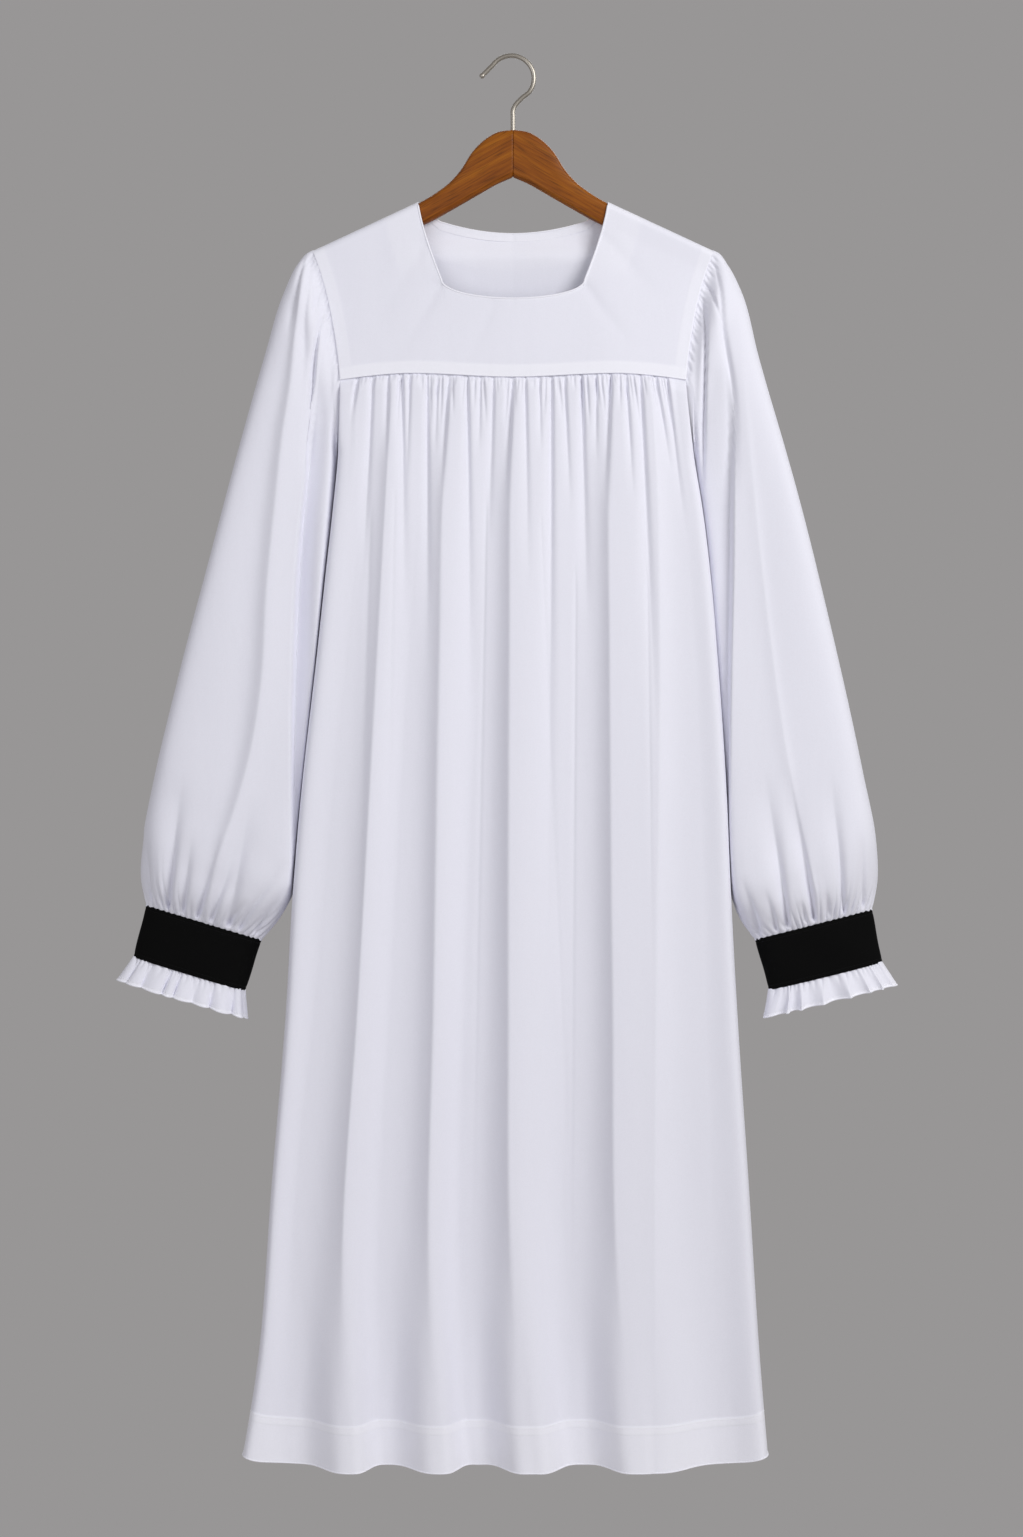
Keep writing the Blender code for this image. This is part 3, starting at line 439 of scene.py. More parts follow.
def woven_cotton(name, single, doubled, roughness, sheen, mottle, specular=0.3):
    """Plain-woven cotton: two crossed sine waves on the cloth's own coordinates, and press marks."""
    made, tree, shader = new_material(name, roughness)
    place = add_node(tree, "ShaderNodeUVMap", {"uv_map": "Cloth"}).outputs["UV"]
    axes = add_node(tree, "ShaderNodeSeparateXYZ", links={0: place})
    turn = 2 * math.pi / WEAVE_PITCH
    waves = []
    for axis in ("X", "Y"):
        along = {0: axes.outputs[axis]}
        scaled = add_node(tree, "ShaderNodeMath", {"operation": "MULTIPLY", 1: turn}, along)
        wave = add_node(tree, "ShaderNodeMath", {"operation": "SINE"}, {0: scaled.outputs[0]})
        waves.append(wave.outputs[0])
    weave = add_node(tree, "ShaderNodeMath", {"operation": "MULTIPLY"}, {0: waves[0], 1: waves[1]})
    spot = add_node(tree, "ShaderNodeTexCoord").outputs["Object"]
    press = noise(tree, mapped(tree, spot, Scale=(1.0, 1.0, 0.28)), 1 / PRESS_MARK, 3.0, Roughness=0.5)
    layers = add_node(tree, "ShaderNodeAttribute", {"attribute_name": "doubled"})
    tone = between(tree, single, doubled, layers.outputs["Fac"])
    shade = ranged(tree, noise(tree, spot, SPECKS_PER_METRE, 2.0), (0.3, 0.7), (1 - mottle, 1.0))
    tree.links.new(multiplied(tree, tone, shade), shader.inputs["Base Color"])
    soft = bump(tree, press, 0.22, PRESS_HEIGHT)
    threads = bump(tree, weave.outputs[0], 0.20, THREAD_HEIGHT, Normal=soft)
    tree.links.new(threads, shader.inputs["Normal"])
    shader.inputs["Sheen Weight"].default_value = sheen
    shader.inputs["Sheen Roughness"].default_value = 0.4
    shader.inputs["Specular IOR Level"].default_value = specular
    return made


white_cotton = woven_cotton("Plain-woven white cotton", "#efeff9", "#f7f7ff", 0.78, 0.12, 0.03)
black_cotton = woven_cotton("Plain-woven black cotton", "#070707", "#0b0b0b", 0.9, 0.01, 0.25, 0.1)
white_thread = woven_cotton("White sewing thread", "#f6f6fb", "#ffffff", 0.6, 0.1, 0.02)
black_thread = woven_cotton("Black sewing thread", "#0e0e0f", "#121213", 0.7, 0.03, 0.1, 0.15)

# %% [markdown]
# Hardwood stained a warm brown under satin lacquer. The hanger is sawn as two arms, and the grain runs
# straight along each, so it meets in a chevron at the middle. The lacquer is smooth: it hides the pores,
# and the grain shows as colour. Each arm turns the same pattern to its own slope.

# %% Stained hardwood
GRAIN_WIDTH = 0.0026
PORE_WIDTH = 0.0012
STREAK_SHARE = 0.55
GRAIN_SLOPE = math.radians(29)


def stained_hardwood(name, side):
    """Long noise streaks along the arm, mixed between three browns, under a clear coat."""
    made, tree, shader = new_material(name, 0.42)
    spot = add_node(tree, "ShaderNodeTexCoord").outputs["Object"]
    turned = mapped(tree, spot, Rotation=(0, -side * GRAIN_SLOPE, 0))
    long_grain = mapped(tree, turned, Scale=(0.045, 0.4, 1.0))
    streaks = noise(tree, long_grain, 1 / GRAIN_WIDTH, 5.0, Roughness=0.62, Distortion=0.35)
    broad = noise(tree, long_grain, 0.16 / GRAIN_WIDTH, 2.0)
    share = add_node(tree, "ShaderNodeMath", {"operation": "MULTIPLY", 1: 1 - STREAK_SHARE}, {0: broad})
    mixed = add_node(
        tree,
        "ShaderNodeMath",
        {"operation": "MULTIPLY_ADD", 1: STREAK_SHARE},
        {0: streaks, 2: share.outputs[0]},
    )
    ramp = add_node(tree, "ShaderNodeValToRGB", links={"Fac": mixed.outputs[0]})
    for stop, place, shade in zip(ramp.color_ramp.elements, (0.30, 0.70), ("#6b3406", "#a8650f")):
        stop.position = place
        stop.color = (*linear(shade), 1)
    middle = ramp.color_ramp.elements.new(0.5)
    middle.color = (*linear("#8c4c09"), 1)
    pores = noise(tree, mapped(tree, turned, Scale=(0.05, 0.5, 1.0)), 1 / PORE_WIDTH, 1.0)
    darker = ranged(tree, pores, (0.30, 0.46), (0.62, 1.0))
    tree.links.new(multiplied(tree, ramp.outputs["Color"], darker), shader.inputs["Base Color"])
    tree.links.new(bump(tree, streaks, 0.08, 0.0004), shader.inputs["Normal"])
    shader.inputs["Specular IOR Level"].default_value = 0.25
    shader.inputs["Coat Weight"].default_value = 0.06
    shader.inputs["Coat Roughness"].default_value = 0.28
    return made


hardwood = {side: stained_hardwood(f"Stained hardwood {word}", side) for side, word in SIDES}

# %% [markdown]
# Steel wire, nickel plated and drawn through a die. The drawing leaves faint lines along the wire, too
# fine to see one by one, so roughness varies a little instead.

# %% Nickel-plated wire
def nickel_wire():
    """Bright metal whose roughness drifts between two values."""
    made, tree, shader = new_material("Nickel-plated drawn wire", 0.3, 1.0)
    shader.inputs["Base Color"].default_value = (*linear("#b0aaa0"), 1)
    spot = add_node(tree, "ShaderNodeTexCoord").outputs["Object"]
    rough = ranged(tree, noise(tree, spot, 60.0, 2.0), (0, 1), (0.36, 0.44))
    tree.links.new(rough, shader.inputs["Roughness"])
    return made


nickel = nickel_wire()

# %% [markdown]
# ## From a net of points to cloth
# A net is an array of rows and columns of points. Its faces join each point to its neighbours, its
# lengths along and across give the cloth coordinates that the weave follows, and a Solidify modifier
# gives it thickness on the inside, so the outer face stays where the net is.

# %% The cloth piece
def cloth_coordinates(net):
    """Distance across and down the cloth in metres, measured along the net from its first row."""
    across = np.linalg.norm(np.diff(net, axis=1), axis=2)
    across = np.pad(np.cumsum(across, axis=1), ((0, 0), (1, 0)))
    across -= across[:, -1:] / 2
    down = np.linalg.norm(np.diff(net, axis=0), axis=2)
    down = np.pad(np.cumsum(down, axis=0), ((1, 0), (0, 0)))
    return np.stack([across, -down], axis=2)


def closed_round(net):
    """A tube's net with its first column again after the last."""
    return np.concatenate([net, net[:, :1]], axis=1)


def numbered(rows, columns):
    """The numbers of a net's points, row by row."""
    return np.arange(rows * columns).reshape(rows, columns)


def quads(index):
    """The four corners of each face between neighbouring rows and columns of numbers."""
    corners = (index[:-1, :-1], index[:-1, 1:], index[1:, 1:], index[1:, :-1])
    return np.stack(corners, axis=-1).reshape(-1, 4)


def surface_piece(name, net, finish, slot, around=False, outward=1, wall=CLOTH, doubled=0.0):
    """An object over a net of points. Around joins the last column to the first."""
    rows, columns = net.shape[:2]
    index, closed_net = numbered(rows, columns), net
    if around:
        index, closed_net = closed_round(index), closed_round(net)
    faces, uv_faces = quads(index), quads(numbered(*index.shape))
    if outward < 0:
        faces, uv_faces = faces[:, ::-1], uv_faces[:, ::-1]
    mesh = bpy.data.meshes.new(name)
    mesh.from_pydata(net.reshape(-1, 3), [], faces.tolist())
    layer = mesh.uv_layers.new(name="Cloth")
    places = cloth_coordinates(closed_net).reshape(-1, 2)[uv_faces.ravel()]
    layer.data.foreach_set("uv", places.astype(np.float32).ravel())
    layers = mesh.attributes.new("doubled", "FLOAT", "POINT")
    amount = np.broadcast_to(doubled, (rows, columns)).ravel()
    layers.data.foreach_set("value", amount.astype(np.float32))
    mesh.materials.append(finish)
    mesh.shade_smooth()
    piece = in_scene(name, mesh)
    solidify = piece.modifiers.new("Cloth thickness", "SOLIDIFY")
    solidify.thickness = wall
    solidify.offset = -1
    piece.modifiers.new("Even shading at the rim", "WEIGHTED_NORMAL")
    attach(piece, body)
    return piece


def closed_piece(name, points, faces, finish):
    """A piece whose mesh is closed already, with every face turned outwards."""
    mesh = bpy.data.meshes.new(name)
    mesh.from_pydata(points.reshape(-1, 3), [], faces)
    mesh.materials.append(finish)
    mesh.shade_smooth()
    shape = bmesh.new()
    shape.from_mesh(mesh)
    bmesh.ops.recalc_face_normals(shape, faces=shape.faces)
    shape.to_mesh(mesh)
    shape.free()
    piece = in_scene(name, mesh)
    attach(piece, body)
    return piece


def net_area(net):
    """Area of a net: half the cross product of each face's diagonals, added up."""
    one = net[1:, 1:] - net[:-1, :-1]
    other = net[1:, :-1] - net[:-1, 1:]
    return np.linalg.norm(np.cross(one, other), axis=2).sum() / 2


# %% [markdown]
# ## The yoke
# The yoke is cut flat and lies over the hanger, so its depth is known from how far a point is below the
# shoulder line: a quarter round over the wood first, then a slow lean forward to the gathered seam.

# %% Where the yoke lies
def shoulder_z(x):
    """Height of the shoulder line, carried on to the middle."""
    return SIDE_NECK_Z - (np.abs(x) - SIDE_NECK_X) * SHOULDER_SLOPE


def yoke_seam_z(x):
    """Height of the gathered seam: half a wave up beside the middle, then a fall to its ends."""
    share = np.abs(x) / YOKE_SEAM_X
    wave = YOKE_SEAM_WAVE * (np.cos(np.pi * np.clip(share / 0.6, 0, 1)) + 1) / 2
    return YOKE_SEAM_Z - wave - YOKE_SEAM_END_FALL * np.clip((share - 0.6) / 0.4, 0, 1) ** 1.6


def yoke_depth(x, z):
    """How far the yoke stands from the middle plane at a point."""
    drop = np.maximum(shoulder_z(x) - z, 0)
    lying = YOKE_TOP_INSET + (LYING_ROUND - YOKE_TOP_INSET) * quarter_round(drop / LYING_ROUND)
    seam_drop = shoulder_z(x) - yoke_seam_z(x)
    hang = np.clip((drop - HANGER_FACE_DROP) / (seam_drop - HANGER_FACE_DROP), 0, 1) ** 1.3
    at_seam = YOKE_DEPTH - YOKE_DEPTH_FALL * (x / YOKE_SEAM_X) ** 2
    return lying + (at_seam - LYING_ROUND) * hang


def below_yoke(z):
    """How far down from the yoke's corner to the underarm a height is, from 0 to 1."""
    return np.clip((ARMHOLE_Z[-1] - z) / (ARMHOLE_Z[-1] - UNDERARM_Z), 0, 1)


def armhole_x(z, side):
    """Distance of the armhole seam from the middle."""
    outward = (UNDERARM_X[side] - ARMHOLE_X[-1]) * below_yoke(z) ** 1.3
    return smooth_line(z, ARMHOLE_Z, ARMHOLE_X) + outward


def armhole_depth(z, side):
    """Half the depth of the armhole, which stays open and closes in a short round at the underarm."""
    above = np.maximum(z, ARMHOLE_Z[-1])
    upper = yoke_depth(armhole_x(above, side), above)
    return SIDE_SEAM_INSET + (upper - SIDE_SEAM_INSET) * np.sqrt(np.maximum(1 - below_yoke(z) ** 5, 0))


# %% The yokes' top edges
def shoulder_places():
    """Distances from the middle along the shoulder, closer at the armhole."""
    return SHOULDER_X - (SHOULDER_X - SIDE_NECK_X) * np.linspace(0, 1, 44) ** 1.6


def front_neck_half():
    """Left half of the front's top edge: shoulder, slanting neck side, then a quarter of an ellipse."""
    shoulder_x = -shoulder_places()
    side_share = np.linspace(0, 1, 46)[1:] ** 1.3
    side_x = -SIDE_NECK_X + (SIDE_NECK_X - NECK_CORNER_X) * side_share**NECK_CURVE
    side_z = SIDE_NECK_Z - (SIDE_NECK_Z - NECK_CORNER_Z) * side_share
    angle = np.linspace(0, np.pi / 2, 34)[1:]
    low_x = -NECK_CORNER_X * np.cos(angle)
    low_z = NECK_CORNER_Z - NECK_SAG * np.sin(angle)
    x = np.concatenate([shoulder_x, side_x, low_x])
    return np.stack([x, np.concatenate([shoulder_z(shoulder_x), side_z, low_z])], axis=1)


def back_neck_half():
    """Left half of the back's top edge: shoulder, a short slope, then a shallow parabola."""
    shoulder_x = -shoulder_places()
    side_share = np.linspace(0, 1, 16)[1:] ** 1.5
    side_x = -SIDE_NECK_X + (SIDE_NECK_X - BACK_NECK_X) * side_share
    side_z = SIDE_NECK_Z - (SIDE_NECK_Z - BACK_NECK_Z) * side_share
    low_share = np.linspace(1, 0, 40)[1:]
    low_z = BACK_NECK_Z - BACK_NECK_SAG * (1 - low_share**2)
    x = np.concatenate([shoulder_x, side_x, -BACK_NECK_X * low_share])
    return np.stack([x, np.concatenate([shoulder_z(shoulder_x), side_z, low_z])], axis=1)


def whole_edge(half):
    """Both halves of an edge, the right one mirrored."""
    return np.concatenate([half, half[-2::-1] * (-1, 1)])


front_edge = whole_edge(front_neck_half())
back_edge = whole_edge(back_neck_half())
print("front top edge", len(front_edge), "points")


# %% The yokes' nets
# Columns: start x and height, end x and height, half width at both ends, depth. Faint pulls from the
# neck's corners, and the notch that marks the middle
NECK_PULLS = (
    (-0.078, -0.246, -0.122, -0.322, 0.006, 0.010, 0.0011),
    (0.078, -0.244, 0.128, -0.314, 0.006, 0.010, 0.0012),
    (-0.094, -0.200, -0.150, -0.290, 0.007, 0.012, 0.0008),
    (0.096, -0.190, 0.160, -0.262, 0.007, 0.012, 0.0010),
    (-0.020, -0.264, -0.050, -0.332, 0.006, 0.010, 0.0006),
    (0.000, -0.2580, 0.0005, -0.270, 0.0007, 0.0007, 0.0005),
)
NECK_FOLD = 0.0028
SIDE_FACING, SIDE_FACING_LOW, SIDE_FACING_RUN = 0.038, -0.245, 0.035
BAND_EDGE = 0.0026
TURNED_EDGE = 0.0014
BACK_BOW, BACK_BOW_WIDTH, BACK_BOW_TOP = 0.010, 0.140, -0.184
BOW_SIDE_RUN, BOW_TOP_RUN, BOW_LOW_RUN = 0.050, 0.030, 0.080
YOKE_RIPPLE, ALLOWANCE_RISE, TURNED_DROP = 0.0004, 0.0002, 0.0008


def edge_distance(x, z, path):
    """Distance of every point of a net from the nearest point of a path, both seen from the front."""
    off_x, off_z = x[..., None] - path[:, 0], z[..., None] - path[:, 1]
    return np.sqrt((off_x**2 + off_z**2).min(axis=-1))


def band(distance, width):
    """1 within a band along an edge and 0 beyond it, with a short slope between."""
    return soft_step((width - distance) / BAND_EDGE + 0.5)


def back_bow(x, z):
    """How far the back yoke, free below the hanger, bows in towards the front behind the open neck."""
    across = soft_step((BACK_BOW_WIDTH - np.abs(x)) / BOW_SIDE_RUN)
    down = soft_step((BACK_BOW_TOP - z) / BOW_TOP_RUN) * soft_step((z - YOKE_SEAM_Z) / BOW_LOW_RUN)
    return BACK_BOW * across * down


def yoke_net(face, top, rows=66):
    """Columns from the top edge down to the seam. They lean, so the outer ones follow the armholes."""
    v = np.linspace(0, 1, rows)[:, None]
    fall = crowded(v, 0.72)
    along = distances(top)
    seam_x = YOKE_SEAM_X * (0.45 * top[:, 0] / SHOULDER_X + 0.55 * (2 * along / along[-1] - 1))
    seam_z = yoke_seam_z(seam_x)
    z = top[:, 1] + (seam_z - top[:, 1]) * fall
    x = top[:, 0] + (seam_x - top[:, 0]) * fall
    straight = SHOULDER_X + (YOKE_SEAM_X - SHOULDER_X) * fall
    bow = armhole_x(z, LEFT) - straight
    x = x + np.sign(x) * bow * np.clip(np.abs(x) / straight, 0, 1) ** 6
    out = yoke_depth(x, z) - (back_bow(x, z) if face == BACK else 0)
    from_seam = z - seam_z
    from_armhole = armhole_x(z, LEFT) - np.abs(x)
    neck = top[np.abs(top[:, 0]) < SIDE_NECK_X]
    from_neck = edge_distance(x, z, neck)
    pulls = ripple(x, z, 3 + face, YOKE_RIPPLE)
    if face == FRONT:
        for row in NECK_PULLS:
            pulls = pulls + crease(x, z, row)
    pulls *= soft_step(from_seam / 0.016) * soft_step(from_armhole / 0.02)
    allowance = np.maximum.reduce([
        band(from_seam, SEAM_ALLOWANCE),
        0.6 * band(from_armhole, SEAM_ALLOWANCE),
        0.5 * band(from_neck, NECK_FOLD),
        0.4 * band(from_neck, SIDE_FACING) * soft_step((z - SIDE_FACING_LOW) / SIDE_FACING_RUN),
    ])
    turned = sum(1 - quarter_round(distance / TURNED_EDGE) for distance in (from_seam, from_armhole))
    turned = np.minimum(turned, 1)
    out = out - pulls + ALLOWANCE_RISE * allowance - TURNED_DROP * turned * (z < top[:, 1] - 0.004)
    return np.stack([x, face * out, z], axis=2), allowance


front_net, front_double = yoke_net(FRONT, front_edge)
back_net, back_double = yoke_net(BACK, back_edge)
yoke_front = surface_piece(
    "yoke_front_cloth", front_net, white_cotton, "white_cotton", outward=-1, doubled=front_double
)
yoke_back = surface_piece(
    "yoke_back_cloth", back_net, white_cotton, "white_cotton", outward=1, doubled=back_double
)
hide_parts("yoke_front")
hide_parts("yoke_back")
print("yoke areas", round(net_area(front_net), 3), round(net_area(back_net), 3))

# %% [markdown]
# ## The facing inside the back neck
# Through the open neck a narrow band shows inside the back. It is the yoke's own surface moved in by
# its thickness, with a join at the middle, where the maker began and ended it.

# %% Back neck facing
FACING_REACH = 0.012


def facing_net():
    """The band under the back's top edge, inside the yoke, with a fine groove at its middle join."""
    edge = back_edge[np.abs(back_edge[:, 0]) < BACK_NECK_X + FACING_REACH]
    drop = np.array([0.0002, 0.0008, 0.002, 0.004, 0.006, 0.0075, 0.0083, 0.0088, FACING_DEPTH])[:, None]
    z = edge[:, 1] - drop
    x = np.broadcast_to(edge[:, 0], z.shape)
    groove = 0.0003 * np.exp(-((x / 0.0009) ** 2))
    return np.stack([x, yoke_depth(x, z) - back_bow(x, z) - CLOTH + 0.0001 + groove, z], axis=2)


facing = surface_piece(
    "neck_facing_cloth", facing_net(), white_cotton, "white_cotton", outward=1, wall=0.0004, doubled=0.7
)
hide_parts("neck_facing")

# %% [markdown]
# ## The tunic
# Each panel runs from the yoke seam to the hem, and from one side seam to the other. Three things are
# added to a plain curved sheet: the long folds, the short folds under the gathers, and the gathers
# themselves. No two gathers are alike: each has its own height and its own reach down the cloth, drawn
# from a seeded list, so the result is the same on each run.

# %% Gathers
GATHERS = {FRONT: 92, BACK: 50}
FLAT_END = 0.018


def small_gathers(face):
    """Seeded rows for small creases along the seam: many short ones and a few that reach far down."""
    chance = np.random.default_rng(15 + face)
    count = GATHERS[face]
    place = (np.arange(count) + 0.5 + chance.uniform(-0.34, 0.34, count)) / count
    seam_x = (2 * place - 1) * (YOKE_SEAM_X - FLAT_END)
    reach = 0.007 + 0.060 * chance.uniform(0, 1, count) ** 2.6
    end_x = seam_x * (1 + 0.9 * reach) + chance.uniform(-0.10, 0.10, count) * reach
    top = yoke_seam_z(seam_x)
    wide = chance.uniform(0.0008, 0.0013, count)
    deep = 0.0016 + 0.022 * reach
    return np.stack([seam_x, top, end_x, top - reach, wide, wide + 0.025 * reach, deep], axis=1)


# %% Folds
STRAIGHT_ROLL, FLANK_EDGE, FOLD_SPACE, HEM_FLATNESS = 0.35, 0.3, 0.002, 0.5


def fold_wave(x, z, left, right, face):
    """-1 in a trough and 1 on a crest: a rise ever steeper up each flank, a slow roll from each crest.

    Towards the hem both turn into half cosine waves, flattened at their highs and lows, so the free edge
    falls in round waves.
    """
    half = smooth_line(z, FOLD_HEIGHTS, FOLD_HALF_WIDTHS)
    power = smooth_line(z, FOLD_HEIGHTS, FLANK_POWERS)
    rounding = soft_step((HEM_WAVES_START - z) / (HEM_WAVES_START - HEM_Z))
    straight = STRAIGHT_ROLL * (1 - rounding)
    edge = FLANK_EDGE * half
    wave = np.zeros(np.broadcast(x, z).shape)
    before, level = left, 0.0
    for fold in LONG_FOLDS[face]:
        crest = smooth_line(z, FOLD_HEIGHTS, fold[:6]) + edge
        side, strength = fold[6:]
        start, end = (crest - 2 * half, crest) if side == LEFT else (crest - edge, crest + 2 * half)
        start = np.maximum(start, before + FOLD_SPACE)
        trough, top = side * strength, -side * strength
        t = np.clip((x - before) / (start - before), 0, 1)
        wave += (trough - level) * (straight * t + (1 - straight) * soft_step(t))
        t = np.clip((x - start) / (end - start), 0, 1)
        steep = t**power if side == LEFT else 1 - (1 - t) ** power
        wave += (top - trough) * ((1 - rounding) * steep + rounding * soft_step(t))
        before, level = end, top
    t = np.clip((x - before) / (right - before), 0, 1)
    wave -= level * (straight * t + (1 - straight) * soft_step(t))
    return wave + HEM_FLATNESS * rounding * wave * (1 - wave**2)


def smoothed(values, passes):
    """Each column's values averaged with their neighbours across the cloth, several times."""
    for _ in range(passes):
        padded = np.pad(values, ((0, 0), (1, 1)), mode="edge")
        values = (padded[:, :-2] + 2 * padded[:, 1:-1] + padded[:, 2:]) / 4
    return values


# %% The tunic's panels
SEAM_TUCK = 0.0025

# Heights of the hem's rows above its edge, closest at that edge and where its layers end
HEM_ROWS = np.array([
    0.0, 0.0006, 0.002, 0.005, 0.010, 0.016, 0.023, 0.030, 0.036, 0.0385, 0.0392, 0.0399, 0.041, 0.044,
    0.0462, 0.0474, 0.0482, 0.049, 0.051, 0.058
])
TUNIC_SIDE_ROUND, SIDE_SQUARENESS = 0.035, 7.0
UNDER_YOKE, SEAM_BLEND = 0.0004, 0.014
PUFF_HEIGHT, PUFF_REACH = 0.0030, 0.05
TUNIC_RIPPLE = 0.0007
LAYER_RISE = 0.0003
SWING_START, SWING_RUN, SWING = -1.25, 0.235, 0.0022


def side_round(distance):
    """Rises from 0 at a side seam to 1 as a squared-off quarter round does: steep, then almost level."""
    level = 1 - np.clip(distance / TUNIC_SIDE_ROUND, 0, 1)
    return (1 - level**SIDE_SQUARENESS) ** (1 / SIDE_SQUARENESS)


def side_distance(rise):
    """The distance from the side seam where side_round reaches a rise."""
    level = 1 - np.clip(rise, 0, 1) ** SIDE_SQUARENESS
    return TUNIC_SIDE_ROUND * (1 - level ** (1 / SIDE_SQUARENESS))


def tunic_heights(top_z, low_z, rows):
    """Heights of the rows: from above the seam down, spaced out, then close again over the hem."""
    length = top_z - low_z - HEM_ROWS[-1]
    share = spaced(1.0, 0.0007, 0.018, 0.11, 2 * rows)[: rows]
    share = (share / share[-1]) * 0.985
    upper = top_z - length * share[:, None]
    return np.concatenate([upper, low_z + HEM_ROWS[::-1, None]])


def tunic_net(face, columns, rows=68):
    """A panel of the tunic: a curved sheet with long folds, short folds and gathers taken from it."""
    t = np.linspace(0, 1, columns)[None, :]
    share = crowded(t, 0.35)
    seam_x = YOKE_SEAM_X * (2 * share - 1)
    top_z = yoke_seam_z(seam_x) + SEAM_TUCK
    low_z = HEM_Z + HEM_SIDE_RISE * np.abs(2 * share - 1) ** 10
    z = tunic_heights(top_z, low_z, rows)
    left = np.where(z > UNDERARM_Z, -armhole_x(z, LEFT), smooth_line(z, TUNIC[:, 0], TUNIC[:, 1]))
    right = np.where(z > UNDERARM_Z, armhole_x(z, RIGHT), smooth_line(z, TUNIC[:, 0], TUNIC[:, 2]))
    x = left + (right - left) * share
    edge = np.where(z > UNDERARM_Z, armhole_depth(z, LEFT), 0.0)
    stand = smooth_line(z, TUNIC[:, 0], TUNIC[:, 3])
    side = side_round(np.minimum(x - left, right - x))
    drop = top_z - SEAM_TUCK - z
    under_yoke = yoke_depth(seam_x, yoke_seam_z(seam_x)) - CLOTH - UNDER_YOKE
    at_seam = 1 - soft_step(drop / SEAM_BLEND)
    shell = edge + (stand - edge) * side
    shell = shell * (1 - at_seam) + under_yoke * at_seam
    wave = fold_wave(x, z, left, right, face)
    fold = smoothed(smooth_line(z, TUNIC[:, 0], TUNIC[:, 4]) * wave, 2)
    short = sum(crease(x, z, row) for row in SHORT_FOLDS[face])
    gather = sum(crease(x, z, row) for row in small_gathers(face))
    ends = soft_step((YOKE_SEAM_X - FLAT_END * 0.6 - np.abs(seam_x)) / 0.008)
    puff = PUFF_HEIGHT * soft_step(drop / 0.006) * np.exp(-np.maximum(drop, 0) / PUFF_REACH) * ends
    below = rising(0.35, drop / 0.008)
    uneven = ripple(x, z, 7 + face, TUNIC_RIPPLE)
    out = shell + (fold + uneven) * side + puff - (short + gather) * below * ends
    from_hem = z - low_z
    hem = band(from_hem, HEM_DEPTH)
    tuck = hem * band(HEM_DEPTH - from_hem, TUCK_DEPTH)
    out = out + LAYER_RISE * hem + LAYER_RISE * tuck
    swing = np.clip((SWING_START - z) / SWING_RUN, 0, 1) ** 2
    z = z - SWING * wave * side * swing
    return np.stack([x, face * out, z], axis=2), 0.6 * hem + 0.4 * tuck


tunic = {}
for face, word, columns in ((FRONT, "front", 520), (BACK, "back", 340)):
    net, layers = tunic_net(face, columns)
    tunic[face] = net
    panel = surface_piece(
        f"tunic_{word}_cloth", net, white_cotton, "white_cotton", outward=face, doubled=layers
    )
    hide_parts(f"body_{word}")
    tunic[word] = panel
    print("tunic", word, "area", round(net_area(net), 3))

# %% [markdown]
# ## The sleeves
# A sleeve is a tube. Each ring is an oval between the sleeve's outer and inner edge in the front view,
# squarer where it hangs as two flat layers. The first rings follow the armhole seam. Control rings are
# joined by the smooth line, and then each ring's points are spread along it, closer together in front.

# %% Sleeve levels
# Columns: outer x, outer z, inner x, inner z, half depth, squareness
SLEEVES = {
    LEFT: np.array((
        (0.2272, -0.2180, 0.1862, -0.4330, 0.029, 2.3),
        (0.2420, -0.2480, 0.1880, -0.4560, 0.031, 2.4),
        (0.2620, -0.3150, 0.1945, -0.5050, 0.034, 2.6),
        (0.2900, -0.4150, 0.2040, -0.5860, 0.037, 2.8),
        (0.3230, -0.5420, 0.2165, -0.6980, 0.040, 2.8),
        (0.3540, -0.6600, 0.2274, -0.8000, 0.042, 2.7),
        (0.3780, -0.7600, 0.2322, -0.8600, 0.044, 2.6),
        (0.3915, -0.8300, 0.2378, -0.8940, 0.043, 2.5),
        (0.3940, -0.8700, 0.2505, -0.9160, 0.034, 2.4),
    )),
    RIGHT: np.array((
        (0.2270, -0.2200, 0.1925, -0.4330, 0.029, 2.3),
        (0.2420, -0.2500, 0.1970, -0.4560, 0.031, 2.4),
        (0.2590, -0.3150, 0.2050, -0.5050, 0.034, 2.6),
        (0.2870, -0.4150, 0.2135, -0.5860, 0.037, 2.8),
        (0.3200, -0.5420, 0.2215, -0.6980, 0.040, 2.8),
        (0.3480, -0.6600, 0.2282, -0.8000, 0.042, 2.7),
        (0.3695, -0.7600, 0.2312, -0.8600, 0.044, 2.6),
        (0.3840, -0.8300, 0.2345, -0.8960, 0.043, 2.5),
        (0.3860, -0.8700, 0.2435, -0.9170, 0.034, 2.4),
    )),
}

# Columns: outer x, outer z, inner x, inner z, at the band's top and bottom and the frill's edge
WRISTS = {
    LEFT: np.array((
        (0.3887, -0.8970, 0.2660, -0.9340),
        (0.4021, -0.9527, 0.2839, -0.9885),
        (0.4158, -0.9770, 0.2849, -1.0160),
    )),
    RIGHT: np.array((
        (0.3804, -0.9015, 0.2562, -0.9335),
        (0.3916, -0.9580, 0.2711, -0.9877),
        (0.4045, -0.9820, 0.2666, -1.0160),
    )),
}
BAND_HALF_DEPTH, BAND_SQUARENESS = 0.017, 2.3
RING_POINTS = 720

# The gap beside the tunic below the yoke's corner, where it starts, and how far above it widens
CORNER_GAP, CORNER_DROP, CORNER_RUN = 0.0007, 0.010, 0.016


